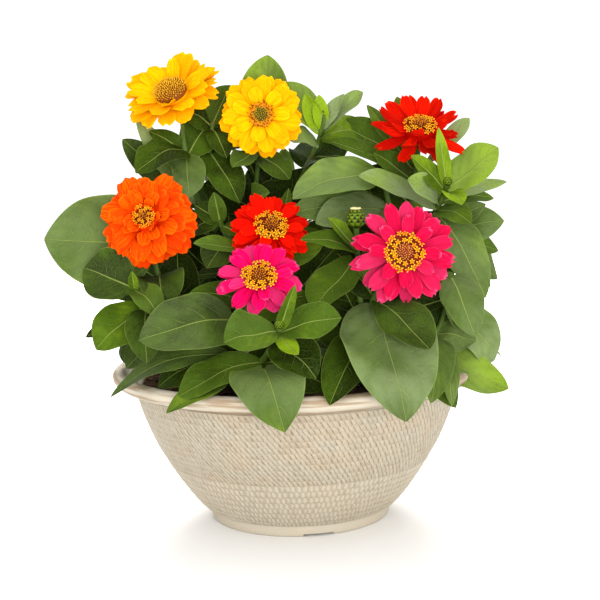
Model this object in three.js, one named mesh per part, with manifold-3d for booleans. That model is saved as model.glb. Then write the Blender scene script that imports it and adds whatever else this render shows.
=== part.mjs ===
// A bowl of zinnias: a moulded resin pot, its soil, seven leafy plants and their seven blooms.
// Millimetres, +Z up. The origin is the middle of the pot's foot, and the front is toward -Y.

import * as THREE from 'three';
import { mergeVertices } from 'three/addons/utils/BufferGeometryUtils.js';
import Module from 'manifold-3d';

const wasm = await Module();
wasm.setup();

// Driving dimensions

const GAP = 0.3;
const ROUND_SIDES = 28;

const POT_HEIGHT = 126;
const RIM_RADIUS = 150;
const NECK_RADIUS = 130.7;
const NECK_HEIGHT = 111;
const FOOT_RADIUS = 72.5;
const FOOT_HEIGHT = 9.5;
const FOOT_RING_INNER = 58;
const PAD_RADIUS = 26;
const CHANNEL_DEPTH = 1.8;
const FLOOR_HEIGHT = 13;
const FLOOR_RADIUS = 70;
const WALL_FOOT_RADIUS = 75.5;
const WALL = 4.5;
const DRAIN_RADIUS = 4.5;
const DRAIN_RING = 42;
const DRAINS = 4;
const NOTCHES = 4;
const NOTCH_WIDTH = 25;
const NOTCH_HEIGHT = 2.2;
const NOTCH_TURN = 11;

const SOIL_HEIGHT = 113;
const SOIL_CROWN = 4;
const CLOD_HEIGHT = 0.9;

const ROOT_RADIUS = 4.4;
const ROOT_BOTTOM = 78;
const ROOT_TOP = 121;
const ROOT_SIDES = 6;
const BRANCH_RADIUS = 2.9;
const BRANCH_SIDES = 4;

const LEAF_THICK = 0.9;
const PETAL_THICK = 0.9;
const LEAF_STAGGER = 2;

const BUD_SIDES = 6;
const CALYX_LENGTH = 17;
const CALYX_RADIUS = 9;
const CALYX_TOP = -4.3;

// Materials

const MATERIALS = {
  pot_resin: { color: 0xcbbda4, roughness: 0.62, metalness: 0 },
  potting_soil: { color: 0x3a2718, roughness: 0.95, metalness: 0 },
  zinnia_green: { color: 0x4f7a34, roughness: 0.6, metalness: 0 },
  yellow_petals: { color: 0xffca08, roughness: 0.55, metalness: 0 },
  orange_petals: { color: 0xff6a0a, roughness: 0.55, metalness: 0 },
  scarlet_petals: { color: 0xf01c05, roughness: 0.55, metalness: 0 },
  magenta_petals: { color: 0xe00a5e, roughness: 0.55, metalness: 0 },
  pink_petals: { color: 0xe8306e, roughness: 0.55, metalness: 0 },
  yellow_florets: { color: 0xffb310, roughness: 0.6, metalness: 0 },
  brown_cone: { color: 0x8a2f14, roughness: 0.75, metalness: 0 },
  olive_cone: { color: 0x93861a, roughness: 0.75, metalness: 0 },
};

// Seeded draws, alike in each run

function draws(seed) {
  let state = seed;
  return () => {
    state = (state * 16807) % 2147483647;
    return state / 2147483647;
  };
}

// Solids

function toSolid(geometry) {
  geometry.deleteAttribute('normal');
  geometry.deleteAttribute('uv');
  const merged = mergeVertices(geometry, 1e-4);
  return new wasm.Manifold(new wasm.Mesh({
    numProp: 3,
    vertProperties: new Float32Array(merged.attributes.position.array),
    triVerts: new Uint32Array(merged.index.array),
  }));
}

// The largest body: loose scraps and the skins of sealed hollows are dropped.
function oneBody(solid) {
  const bodies = solid.decompose();
  return bodies.reduce((best, body) => (body.volume() > best.volume() ? body : best));
}

function fuse(solids) {
  return oneBody(solids.reduce((whole, solid) => whole.add(solid)));
}

function toMesh(name, solid, slot) {
  const { vertProperties, triVerts } = solid.getMesh();
  const geometry = new THREE.BufferGeometry();
  geometry.setAttribute('position', new THREE.BufferAttribute(new Float32Array(vertProperties), 3));
  geometry.setIndex(new THREE.BufferAttribute(new Uint32Array(triVerts), 1));
  geometry.computeVertexNormals();
  const mesh = new THREE.Mesh(geometry, new THREE.MeshStandardMaterial(MATERIALS[slot]));
  mesh.name = name;
  return mesh;
}

// A turned solid: points are [radius, height], and it stands along +Z.
function turned(points, sides) {
  const profile = points.map(([radius, height]) => new THREE.Vector2(radius, height));
  const geometry = new THREE.LatheGeometry(profile, sides);
  geometry.rotateX(Math.PI / 2);
  return geometry;
}

function tube(curve, steps, radius, sides) {
  const section = new THREE.Shape();
  for (let i = 0; i < sides; i += 1) {
    const turn = (2 * Math.PI * i) / sides;
    const x = radius * Math.cos(turn);
    const y = radius * Math.sin(turn);
    if (i === 0) section.moveTo(x, y);
    else section.lineTo(x, y);
  }
  section.closePath();
  return new THREE.ExtrudeGeometry(section, { steps, extrudePath: curve, bevelEnabled: false });
}

// Blades: leaves and petals

// Half of the blade's width at t, from 0 at the root to 1 at the tip, as a share of the widest.
function leafOutline(t, belly) {
  const s = t ** (Math.log(0.5) / Math.log(belly));
  return (4 * s * (1 - s)) ** 0.6;
}

function petalOutline(t, claw, tipWidth) {
  const widest = 0.68;
  if (t <= widest) return claw + (1 - claw) * Math.sin((Math.PI / 2) * (t / widest));
  const past = (t - widest) / (1 - widest);
  return Math.sqrt(1 - past * past * (1 - tipWidth * tipWidth));
}

// The curved frame of a blade from its root to its tip, with its upper side toward facing.
function bladeFrame({ root, tip, facing, bow }) {
  const along = tip.clone().sub(root);
  const up = facing.clone().addScaledVector(along, -facing.dot(along) / along.lengthSq()).normalize();
  const side = along.clone().cross(up).normalize();
  const middle = root.clone().add(tip).multiplyScalar(0.5).addScaledVector(up, 2 * bow);
  return { up, side, middle };
}

// A point of the blade: t along it, u across it from -1 to 1, raised by lift off its middle skin.
function bladePoint(blade, frame, t, u, lift) {
  const { root, tip, width, cup = 0, ripple = 0, notch = 0 } = blade;
  const { up, side, middle } = frame;
  const reach = t - notch * t * t * (1 - Math.abs(u));
  const point = root.clone().multiplyScalar((1 - reach) ** 2);
  point.addScaledVector(middle, 2 * reach * (1 - reach));
  point.addScaledVector(tip, reach * reach);
  const share = blade.petal
    ? petalOutline(t, blade.claw, blade.tipWidth)
    : leafOutline(t, blade.belly);
  const half = (width / 2) * share;
  const wave = ripple * Math.sin(7 * t + 2.2 * Math.sign(u) + blade.phase);
  point.addScaledVector(side, u * half);
  point.addScaledVector(up, (cup + wave) * half * u * u + lift);
  return point;
}

// A closed blade of the given rows along and columns across. Both faces are split alike.
function bladeGeometry(blade, rows, cols, thick) {
  const frame = bladeFrame(blade);
  const last = rows.length - 1;
  const positions = [];
  const ids = [];
  for (const face of [0.5, -0.5]) {
    const grid = [];
    rows.forEach((t, i) => {
      const pointed = i === 0 || (i === last && !blade.petal);
      const row = [];
      for (let j = 0; j <= cols; j += 1) {
        if (!pointed || j === 0) {
          const u = pointed ? 0 : (2 * j) / cols - 1;
          positions.push(...bladePoint(blade, frame, t, u, face * thick).toArray());
        }
        row.push(positions.length / 3 - 1);
      }
      grid.push(row);
    });
    ids.push(grid);
  }
  const [upper, lower] = ids;
  const index = [];
  const triangle = (a, b, c) => {
    if (a !== b && b !== c && a !== c) index.push(a, b, c);
  };
  const quad = (a, b, c, d) => {
    triangle(a, b, c);
    triangle(a, c, d);
  };
  for (let i = 0; i < last; i += 1) {
    for (let j = 0; j < cols; j += 1) {
      triangle(upper[i][j], upper[i][j + 1], upper[i + 1][j + 1]);
      triangle(upper[i][j], upper[i + 1][j + 1], upper[i + 1][j]);
      triangle(lower[i][j], lower[i + 1][j + 1], lower[i][j + 1]);
      triangle(lower[i][j], lower[i + 1][j], lower[i + 1][j + 1]);
    }
    quad(upper[i][0], upper[i + 1][0], lower[i + 1][0], lower[i][0]);
    quad(upper[i][cols], lower[i][cols], lower[i + 1][cols], upper[i + 1][cols]);
  }
  for (let j = 0; j < cols; j += 1) {
    quad(upper[last][j], upper[last][j + 1], lower[last][j + 1], lower[last][j]);
  }
  const geometry = new THREE.BufferGeometry();
  geometry.setAttribute('position', new THREE.Float32BufferAttribute(positions, 3));
  geometry.setIndex(index);
  return geometry;
}

// A direction from its turn, 0 to the front and 90 to the right, and its rise, in degrees.
function aimed(turn, rise) {
  const a = THREE.MathUtils.degToRad(turn);
  const e = THREE.MathUtils.degToRad(rise);
  return new THREE.Vector3(Math.sin(a) * Math.cos(e), -Math.cos(a) * Math.cos(e), Math.sin(e));
}

// Pot

// The outside of the wall between the foot and the neck, from the lowest up
const WALL_PROFILE = [[86, 18.5], [104.5, 45], [121.5, 77]];

// The rolled rim from the neck outward and over to its inner lip
const RIM_PROFILE = [
  [138, 112.5], [146.5, 115.5], [RIM_RADIUS, 120.5], [147.8, 124.8], [143.5, POT_HEIGHT], [139, 123.5],
];

function potSolid() {
  const outside = [...WALL_PROFILE, [NECK_RADIUS, NECK_HEIGHT]];
  const inside = outside.map(([radius, z]) => [radius - WALL, z]).reverse();
  const profile = [
    [0, 0], [PAD_RADIUS, 0], [PAD_RADIUS + 2, CHANNEL_DEPTH],
    [FOOT_RING_INNER - 2, CHANNEL_DEPTH], [FOOT_RING_INNER, 0], [FOOT_RADIUS, 0],
    [FOOT_RADIUS + 1.8, FOOT_HEIGHT - 1], [WALL_FOOT_RADIUS, FOOT_HEIGHT],
    ...outside, ...RIM_PROFILE, ...inside, [FLOOR_RADIUS, FLOOR_HEIGHT], [0, FLOOR_HEIGHT],
  ];
  let pot = toSolid(turned(profile, ROUND_SIDES));
  for (let i = 0; i < DRAINS; i += 1) {
    const hole = new THREE.CylinderGeometry(DRAIN_RADIUS, DRAIN_RADIUS, 3 * FLOOR_HEIGHT, 7);
    hole.rotateX(Math.PI / 2);
    hole.translate(DRAIN_RING, 0, 0);
    hole.rotateZ((2 * Math.PI * (i + 0.5)) / DRAINS);
    pot = pot.subtract(toSolid(hole));
  }
  for (let i = 0; i < NOTCHES; i += 1) {
    const notch = new THREE.BoxGeometry(NOTCH_WIDTH, 30, 2 * NOTCH_HEIGHT);
    notch.translate(0, -FOOT_RADIUS, 0);
    notch.rotateZ(THREE.MathUtils.degToRad(NOTCH_TURN) + (2 * Math.PI * i) / NOTCHES);
    pot = pot.subtract(toSolid(notch));
  }
  return pot;
}

// Soil, with a low crown, small clods on top and a plain hole for each stem

function soilSolid(roots) {
  const inset = WALL + GAP;
  const profile = [[0, FLOOR_HEIGHT + GAP], [FLOOR_RADIUS - GAP, FLOOR_HEIGHT + GAP]];
  for (const [radius, z] of WALL_PROFILE) profile.push([radius - inset, z]);
  profile.push([NECK_RADIUS - inset, NECK_HEIGHT]);
  const rings = 2;
  const edge = NECK_RADIUS - inset;
  for (let i = 1; i <= rings; i += 1) {
    const share = 1 - i / rings;
    profile.push([edge * share, SOIL_HEIGHT + SOIL_CROWN * (1 - share * share)]);
  }
  const geometry = turned(profile, ROUND_SIDES);
  const place = geometry.attributes.position;
  for (let i = 0; i < place.count; i += 1) {
    const x = place.getX(i);
    const y = place.getY(i);
    const z = place.getZ(i);
    if (z > SOIL_HEIGHT) {
      place.setZ(i, z + CLOD_HEIGHT * Math.sin(x * 0.23 + 1) * Math.cos(y * 0.29));
    }
  }
  let soil = toSolid(geometry);
  for (const [x, y] of roots) {
    const radius = ROOT_RADIUS + GAP;
    const depth = 60;
    const hole = new THREE.CylinderGeometry(radius, radius, depth, ROOT_SIDES);
    hole.rotateX(Math.PI / 2);
    hole.translate(x, y, ROOT_BOTTOM - GAP + depth / 2);
    soil = soil.subtract(toSolid(hole));
  }
  return soil;
}

// Blooms: place of the disc, aim [turn, rise], and layers of petals from the lowest up.
// A layer: count, length, width, rise at the disc's edge, bow, cup.

const BLOOMS = {
  yellow_left: {
    place: [-96, 0, 346], aim: [-20, 42], core: [13, 4], ring: null, cone: [13, 11],
    petals: 'yellow_petals', coneSlot: 'brown_cone', tipWidth: 0.62, notch: 0.07, claw: 0.5, seed: 11,
    layers: [[10, 28, 17, -6, 1.5, 0.1], [8, 25, 15, 16, 1.5, 0.2]],
  },
  yellow_right: {
    place: [-22, -16, 326], aim: [0, 7], core: [9, 4], ring: [5.6, 8.6, 2.2], cone: [5.2, 5],
    petals: 'yellow_petals', florets: 'brown_cone', coneSlot: 'olive_cone',
    tipWidth: 0.7, notch: 0.08, claw: 0.42, seed: 12,
    layers: [[10, 26.5, 15, 0, 2, 0.1], [8, 22, 13.5, 14, 2, 0.1], [6, 15, 10, 30, 1.5, 0.1]],
  },
  orange: {
    place: [-113, -62, 252], aim: [-8, 16], core: [13, 13], ring: [5, 9, 2.6], cone: [4.6, 5],
    petals: 'orange_petals', florets: 'yellow_florets', coneSlot: 'brown_cone',
    tipWidth: 0.75, notch: 0.05, claw: 0.5, seed: 13,
    layers: [
      [10, 27, 17, -26, 3, 0.15], [10, 28, 17, -6, 3, 0.15], [9, 25, 15, 14, 2.5, 0.15],
      [8, 20, 13, 34, 2, 0.15], [6, 14, 11, 56, 1, 0.2],
    ],
  },
  scarlet: {
    place: [-14, -62, 243], aim: [8, 34], core: [11, 4], ring: [6, 10.8, 2.9], cone: [5.6, 6],
    petals: 'scarlet_petals', florets: 'yellow_florets', coneSlot: 'brown_cone',
    tipWidth: 0.6, notch: 0.12, claw: 0.5, seed: 14,
    layers: [[10, 22, 11.5, -4, 1, 0.1], [8, 20, 10.5, 18, 1, 0.15]],
  },
  red: {
    place: [103, -8, 314], aim: [0, 47], core: [13, 4], ring: [7, 12.4, 3], cone: [6.6, 6],
    petals: 'scarlet_petals', florets: 'yellow_florets', coneSlot: 'brown_cone',
    tipWidth: 0.62, notch: 0.08, claw: 0.45, seed: 15,
    layers: [[9, 27, 13, -2, -1, 0.25], [7, 24, 12, 24, -2, 0.3]],
  },
  magenta: {
    place: [-27, -110, 211], aim: [2, 34], core: [11, 4], ring: [6, 10.8, 2.9], cone: [5.6, 6],
    petals: 'magenta_petals', florets: 'yellow_florets', coneSlot: 'brown_cone',
    tipWidth: 0.62, notch: 0.05, claw: 0.45, seed: 16,
    layers: [[8, 22, 12.5, -8, 1.5, 0.15], [8, 20, 11, 14, 1.5, 0.15]],
  },
  pink: {
    place: [82, -100, 225], aim: [4, 14], core: [13, 4], ring: [7, 12.4, 3], cone: [6.6, 6],
    petals: 'pink_petals', florets: 'yellow_florets', coneSlot: 'brown_cone',
    tipWidth: 0.6, notch: 0.1, claw: 0.45, seed: 17,
    layers: [[12, 29, 13.5, -6, 2, 0.15], [10, 25, 12.5, 12, 2, 0.15]],
  },
};

const PETAL_ROWS = [0, 0.62, 1];
const SWAY = 4.5;

function petalBlade(layer, turn, sway, base, shape, random) {
  const [, length, width, rise, bow, cup] = layer;
  const out = new THREE.Vector3(Math.cos(turn), Math.sin(turn), 0);
  const long = length * (0.93 + 0.12 * random());
  const lift = THREE.MathUtils.degToRad(rise + sway + 2 * (random() - 0.5));
  const root = out.clone().multiplyScalar(base.radius).setZ(base.height);
  const tip = root.clone().addScaledVector(out, long * Math.cos(lift));
  tip.z += long * Math.sin(lift);
  return {
    petal: true, root, tip, width, bow, cup, notch: shape.notch,
    claw: shape.claw, tipWidth: shape.tipWidth, facing: new THREE.Vector3(0, 0, 1), phase: 0,
  };
}

function petalsSolid(bloom) {
  const [coreRadius, coreTop] = bloom.core;
  const random = draws(bloom.seed);
  const top = coreRadius * (coreTop > 6 ? 0.72 : 1);
  const core = turned([[0, -4], [coreRadius, -4], [top, coreTop], [0, coreTop]], 9);
  const solids = [toSolid(core)];
  bloom.layers.forEach((layer, i) => {
    const step = (2 * Math.PI) / layer[0];
    const share = bloom.layers.length > 1 ? i / (bloom.layers.length - 1) : 0;
    const base = { radius: coreRadius * 0.7, height: -1.8 + share * (coreTop - 0.4) };
    for (let k = 0; k < layer[0]; k += 1) {
      const turn = (k + 0.5 * (i % 2) + 0.2 * (random() - 0.5)) * step;
      const blade = petalBlade(layer, turn, k % 2 ? SWAY : -SWAY, base, bloom, random);
      solids.push(toSolid(bladeGeometry(blade, PETAL_ROWS, 1, PETAL_THICK)));
    }
  });
  return fuse(solids);
}

// One floret, a trumpet with a rim of five points
function floretGeometry(size, height) {
  const positions = [0, 0, 0, 0, 0, height * 0.7];
  const index = [];
  const lobes = 5;
  for (let i = 0; i < lobes; i += 1) {
    const turn = (2 * Math.PI * i) / lobes;
    positions.push(size * Math.cos(turn), size * Math.sin(turn), height);
    const here = 2 + i;
    const next = 2 + ((i + 1) % lobes);
    index.push(0, next, here, 1, here, next);
  }
  const geometry = new THREE.BufferGeometry();
  geometry.setAttribute('position', new THREE.Float32BufferAttribute(positions, 3));
  geometry.setIndex(index);
  return geometry;
}

function floretsSolid(bloom) {
  const [inner, outer, size] = bloom.ring;
  const random = draws(bloom.seed + 50);
  const low = bloom.core[1] + GAP;
  const crest = (inner + outer) / 2;
  const ring = turned([[inner, low], [outer - 1, low], [crest, low + 2], [inner, low]], 7);
  const solids = [toSolid(ring)];
  const count = Math.floor((2 * Math.PI * crest) / (size * 2.1));
  for (let k = 0; k < count; k += 1) {
    const turn = ((k + 0.15 * random()) * 2 * Math.PI) / count;
    const floret = floretGeometry(size, 4.4 + random());
    floret.rotateZ(random() * 6);
    floret.rotateY(0.35 * (0.6 + random() * 0.5));
    floret.translate(crest - 0.2, 0, low + 0.7);
    floret.rotateZ(turn);
    solids.push(toSolid(floret));
  }
  return fuse(solids);
}

// A rounded cone whose surface is a spiral of small points
function coneSolid(bloom) {
  const [radius, height] = bloom.cone;
  const low = bloom.core[1] + GAP;
  const profile = [[0, low], [radius * 0.94, low], [radius * 0.9, low + height * 0.45]];
  profile.push([radius * 0.55, low + height * 0.86], [0, low + height]);
  const solids = [toSolid(turned(profile, radius > 10 ? 8 : 7))];
  const count = radius > 10 ? 19 : 6;
  for (let k = 0; k < count; k += 1) {
    const share = Math.sqrt((k + 0.5) / count);
    const turn = k * 2.39996;
    const spike = new THREE.ConeGeometry(1.1, 3.4, 3);
    spike.rotateX(Math.PI / 2);
    spike.rotateY(share * 0.5);
    spike.translate(radius * 0.78 * share, 0, low + height * (1 - 0.55 * share * share) + 0.4);
    spike.rotateZ(turn);
    solids.push(toSolid(spike));
  }
  return fuse(solids);
}

function bloomTurn(bloom) {
  return new THREE.Quaternion().setFromUnitVectors(new THREE.Vector3(0, 0, 1), aimed(...bloom.aim));
}

function bloomFoot(bloom, depth) {
  return new THREE.Vector3(...bloom.place).addScaledVector(aimed(...bloom.aim), -depth);
}

// Plants. A branch is a list of leaf nodes from the root up; it may end in a bloom or a bud.
// A leaf: branch, node, tip, width, bow, facing [turn, rise], belly, cup.

const PLANTS = {
  orange_plant: {
    root: [-72, -20],
    branches: {
      stem: { nodes: [[-90, -34, 165], [-106, -38, 203], [-109, -35, 228]], bloom: 'orange' },
      shoot: { nodes: [[-98, -50, 158], [-115, -68, 186], [-123, -76, 201]] },
    },
    leaves: [
      ['stem', 3, [-193, -42, 236], 68, 6, [-12, 28], 0.42, 0.12],
      ['stem', 2, [-98, -90, 181], 38, 14, [5, 30], 0.45, 0.1],
      ['stem', 2, [-165, 25, 212], 52, 10, [-120, 50], 0.45, 0.1],
      ['stem', 1, [-168, 8, 124], 46, 14, [-85, 55], 0.45, 0.1],
      ['shoot', 3, [-160, -62, 216], 36, 5, [-25, 30], 0.45, 0.25],
      ['shoot', 3, [-99, -104, 179], 25, 5, [20, 30], 0.42, 0.3],
      ['shoot', 3, [-121, -84, 213], 8, 1, [0, 20], 0.5, 0.3],
      ['shoot', 2, [-153, -88, 159], 40, 5, [-20, 15], 0.5, 0.15],
      ['shoot', 2, [-110, -108, 147], 30, 8, [0, 15], 0.5, 0.1],
    ],
  },
  yellow_plant: {
    root: [-50, 38],
    branches: {
      left: { nodes: [[-62, 32, 190], [-76, 16, 255], [-85, 6, 302]], bloom: 'yellow_left' },
      right: { nodes: [[-45, 35, 190], [-32, 24, 250], [-25, 10, 300]], bloom: 'yellow_right' },
      side: { from: ['left', 1], nodes: [[-64, 26, 250], [-66, 16, 300], [-62, 16, 322]] },
      top: { from: ['right', 1], nodes: [[-12, 30, 240], [14, 16, 285], [26, 3, 313], [28.5, 0, 326]], bud: 3.4 },
    },
    leaves: [
      ['left', 3, [-122, -23, 284], 38, 7, [-25, 25], 0.42, 0.1],
      ['left', 3, [-80, -37, 264], 28, 2, [15, 20], 0.5, 0.15],
      ['left', 3, [-113, 2, 316], 18, 3, [-10, 40], 0.5, 0.1],
      ['left', 3, [-62, 22, 328], 32, 2, [5, 25], 0.5, 0.1],
      ['left', 2, [-136, 15, 310], 26, -3, [-25, 15], 0.6, 0.1],
      ['left', 2, [-120, 60, 262], 48, 8, [-130, 45], 0.45, 0.1],
      ['left', 1, [-96, -4, 232], 44, 4, [-10, 25], 0.5, 0.1],
      ['side', 3, [-47, 20, 351], 26, 3, [10, 30], 0.5, 0.15],
      ['side', 3, [-86, 14, 332], 24, 3, [-10, 40], 0.5, 0.1],
      ['side', 3, [-51, -5, 293], 20, 4, [15, 30], 0.5, 0.1],
      ['side', 2, [-41, -25, 258], 30, 6, [10, 20], 0.5, 0.1],
      ['right', 3, [-10, 14, 374], 36, 0, [0, 5], 0.55, 0.1],
      ['right', 3, [-46, -18, 286], 22, 3, [-15, 35], 0.5, 0.1],
      ['right', 3, [-1, -14, 275], 24, 4, [10, 30], 0.55, 0.1],
      ['right', 2, [-17, -34, 266], 26, 6, [0, 20], 0.45, 0.15],
      ['right', 2, [-40, 88, 268], 46, 8, [180, 45], 0.45, 0.1],
      ['right', 1, [-52, 6, 246], 38, 4, [0, 25], 0.5, 0.1],
      ['top', 3, [-3, 22, 352], 26, 5, [0, 25], 0.55, 0.1],
      ['top', 3, [13, -6, 342], 15, -1, [-10, 15], 0.5, 0.3],
      ['top', 3, [59, -5, 342], 15, 1, [0, 50], 0.75, 0.25],
      ['top', 3, [66, 26, 312], 32, 4, [20, 45], 0.5, 0.1],
      ['top', 3, [42, -15, 314], 16, 2, [10, 50], 0.5, 0.1],
      ['top', 3, [-1, -4, 309], 24, 3, [0, 55], 0.5, 0.1],
      ['top', 2, [40, -10, 292], 34, 5, [10, 55], 0.5, 0.1],
      ['top', 2, [30, 66, 300], 40, 8, [160, 50], 0.45, 0.1],
    ],
  },
  scarlet_plant: {
    root: [-12, -12],
    branches: {
      stem: { nodes: [[-14, -18, 170], [-16, -30, 211]], bloom: 'scarlet' },
      shoot: { from: ['stem', 1], nodes: [[-30, -24, 200], [-50, -32, 230], [-57, -38, 246]] },
    },
    leaves: [
      ['stem', 2, [-74, -86, 233], 22, 5, [0, 45], 0.5, 0.1],
      ['stem', 1, [-78, -88, 196], 24, 8, [-5, 35], 0.55, 0.1],
      ['stem', 2, [26, -36, 233], 30, 6, [10, 30], 0.5, 0.1],
      ['stem', 2, [-2, -14, 268], 14, 3, [0, 20], 0.5, 0.1],
      ['stem', 1, [34, -30, 222], 42, 5, [5, 20], 0.5, 0.1],
      ['shoot', 3, [-60, -42, 268], 14, 1, [0, 15], 0.45, 0.3],
      ['shoot', 3, [-76, -34, 258], 18, 3, [0, 35], 0.5, 0.2],
      ['shoot', 3, [-36, -48, 232], 16, 3, [10, 40], 0.5, 0.2],
      ['shoot', 2, [-66, -68, 212], 30, 5, [0, 25], 0.5, 0.1],
    ],
  },
  magenta_plant: {
    root: [-38, -76],
    branches: {
      stem: { nodes: [[-42, -80, 148], [-45, -84, 176]], bloom: 'magenta' },
      shoot: { nodes: [[-25, -98, 144], [-14, -122, 164], [-11, -133, 174]], bud: 3.4 },
    },
    leaves: [
      ['stem', 2, [-114, -118, 166], 50, 8, [-15, 25], 0.45, 0.1],
      ['stem', 2, [12, -76, 190], 30, 6, [10, 40], 0.5, 0.1],
      ['stem', 1, [-139, -102, 121], 24, 15, [-20, 60], 0.5, 0.15],
      ['shoot', 3, [1, -138, 206], 11, 0, [20, 10], 0.4, 0.3],
      ['shoot', 3, [-50, -152, 168], 36, 4, [-10, 40], 0.55, 0.2],
      ['shoot', 3, [33, -150, 183], 30, 3, [10, 35], 0.6, 0.2],
      ['shoot', 3, [2, -158, 159], 13, -2, [0, 30], 0.45, 0.3],
      ['shoot', 2, [14, -148, 140], 36, 6, [10, 35], 0.5, 0.1],
      ['shoot', 1, [-9, -167, 106], 56, 12, [0, 30], 0.42, 0.1],
      ['shoot', 1, [-94, -140, 116], 28, 4, [-35, 50], 0.5, 0.1],
    ],
  },
  pink_plant: {
    root: [58, -54],
    branches: {
      stem: { nodes: [[56, -62, 150], [61, -68, 186], [72, -74, 204]], bloom: 'pink' },
      bud: { from: ['stem', 1], nodes: [[50, -58, 190], [49, -62, 224], [48.5, -68, 240]], bud: 7.2 },
      low: { nodes: [[85, -55, 140], [108, -58, 155], [118, -52, 178], [120, -62, 202]] },
    },
    leaves: [
      ['stem', 2, [88, -146, 155], 34, 5, [5, 35], 0.55, 0.1],
      ['stem', 2, [76, -167, 111], 70, 12, [5, 30], 0.48, 0.08],
      ['stem', 1, [23, -157, 122], 38, 12, [0, 50], 0.5, 0.1],
      ['stem', 1, [14, -44, 172], 40, 4, [-5, 30], 0.5, 0.1],
      ['bud', 2, [27, -86, 249], 12, 1, [0, 35], 0.5, 0.25],
      ['bud', 2, [6, -95, 234], 20, 4, [0, 50], 0.5, 0.15],
      ['bud', 2, [63, -97, 192], 22, 3, [30, 20], 0.6, 0.1],
      ['bud', 2, [14, -105, 182], 38, 2, [-30, 20], 0.5, 0.1],
      ['low', 2, [164, -70, 110], 40, 8, [20, 45], 0.6, 0.1],
      ['low', 2, [98, -122, 114], 28, 10, [15, 30], 0.5, 0.1],
      ['low', 3, [158, -37, 130], 44, 9, [25, 25], 0.45, 0.1],
      ['low', 2, [117, -113, 104], 16, 12, [20, 40], 0.5, 0.1],
      ['low', 4, [135, -84, 156], 32, 5, [10, 12], 0.45, 0.1],
    ],
  },
  red_plant: {
    root: [80, 22],
    branches: {
      stem: { nodes: [[86, 22, 142], [90, 16, 190], [97, 10, 250], [101, 8, 278]], bloom: 'red' },
      side: { from: ['stem', 2], nodes: [[86, 4, 215], [78, -8, 250], [72, -14, 280]] },
      tip: { from: ['stem', 2], nodes: [[104, -4, 225], [117, -22, 254], [122, -33, 268]], bud: 3.6 },
    },
    leaves: [
      ['stem', 4, [88, 22, 338], 13, 1, [0, 20], 0.6, 0.1],
      ['stem', 4, [64, 16, 331], 15, 3, [0, 40], 0.6, 0.1],
      ['stem', 4, [143, 10, 324], 10, 3, [0, 25], 0.75, 0.1],
      ['stem', 4, [30, -5, 304], 28, 6, [0, 50], 0.4, 0.15],
      ['stem', 4, [66, -14, 294], 20, 3, [0, 30], 0.5, 0.1],
      ['stem', 3, [130, 70, 270], 46, 8, [140, 45], 0.45, 0.1],
      ['stem', 3, [50, -8, 236], 42, 4, [0, 35], 0.5, 0.1],
      ['stem', 2, [165, 40, 205], 48, 10, [110, 45], 0.45, 0.1],
      ['stem', 1, [172, 28, 120], 44, 14, [100, 55], 0.45, 0.1],
      ['stem', 1, [114, -22, 186], 46, 3, [5, 25], 0.5, 0.1],
      ['side', 3, [1, -75, 263], 42, 8, [-10, 45], 0.45, 0.08],
      ['side', 2, [18, -60, 243], 36, 6, [-5, 35], 0.5, 0.08],
      ['tip', 3, [115, -38, 313], 11, 1, [0, 10], 0.4, 0.3],
      ['tip', 3, [161, -40, 300], 32, -2, [15, 40], 0.55, 0.25],
      ['tip', 3, [93, -45, 292], 18, 1, [-10, 35], 0.5, 0.2],
      ['tip', 2, [89, -57, 274], 22, 4, [-10, 30], 0.6, 0.15],
      ['tip', 3, [130, -60, 254], 20, 3, [10, 45], 0.5, 0.2],
      ['tip', 2, [172, -10, 268], 14, 4, [20, 60], 0.6, 0.1],
      ['tip', 2, [52, -50, 278], 28, 4, [-5, 50], 0.5, 0.08],
      ['tip', 2, [138, -50, 239], 24, 4, [10, 30], 0.5, 0.1],
      ['tip', 2, [149, -45, 180], 36, 8, [15, 20], 0.45, 0.1],
      ['tip', 1, [170, -12, 242], 38, 6, [35, 30], 0.5, 0.1],
      ['tip', 1, [164, -8, 192], 30, 6, [50, 25], 0.5, 0.1],
    ],
  },
  back_plant: {
    root: [10, 70],
    branches: {
      middle: { nodes: [[8, 78, 138], [4, 86, 168], [-2, 92, 215], [-4, 95, 262]], bud: 3.4 },
      right: { nodes: [[46, 78, 138], [70, 84, 168], [92, 84, 206], [104, 80, 240]], bud: 3.4 },
      left: { nodes: [[-42, 80, 136], [-72, 84, 164], [-92, 82, 196], [-104, 76, 230]], bud: 3.4 },
    },
    leaves: [
      ['middle', 1, [12, 170, 118], 44, 14, [175, 55], 0.45, 0.1],
      ['middle', 2, [74, 134, 150], 42, 8, [160, 55], 0.45, 0.1],
      ['middle', 2, [-64, 136, 150], 42, 8, [200, 55], 0.45, 0.1],
      ['middle', 3, [0, 162, 200], 46, 8, [180, 45], 0.45, 0.1],
      ['middle', 3, [12, 40, 236], 46, 4, [0, 45], 0.45, 0.1],
      ['middle', 4, [42, 122, 262], 28, 5, [165, 55], 0.5, 0.15],
      ['middle', 4, [-50, 120, 258], 28, 5, [195, 55], 0.5, 0.15],
      ['middle', 4, [-6, 78, 298], 16, 3, [180, 30], 0.5, 0.2],
      ['right', 1, [86, 152, 120], 42, 14, [150, 55], 0.45, 0.1],
      ['right', 2, [152, 96, 146], 44, 10, [125, 50], 0.45, 0.1],
      ['right', 3, [112, 150, 200], 42, 8, [150, 45], 0.45, 0.1],
      ['right', 4, [142, 110, 258], 28, 5, [130, 50], 0.5, 0.15],
      ['right', 4, [78, 104, 268], 22, 4, [180, 45], 0.5, 0.2],
      ['left', 1, [-84, 154, 120], 42, 14, [210, 55], 0.45, 0.1],
      ['left', 2, [-152, 96, 138], 44, 10, [235, 50], 0.45, 0.1],
      ['left', 3, [-112, 148, 192], 42, 8, [210, 45], 0.45, 0.1],
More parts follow.
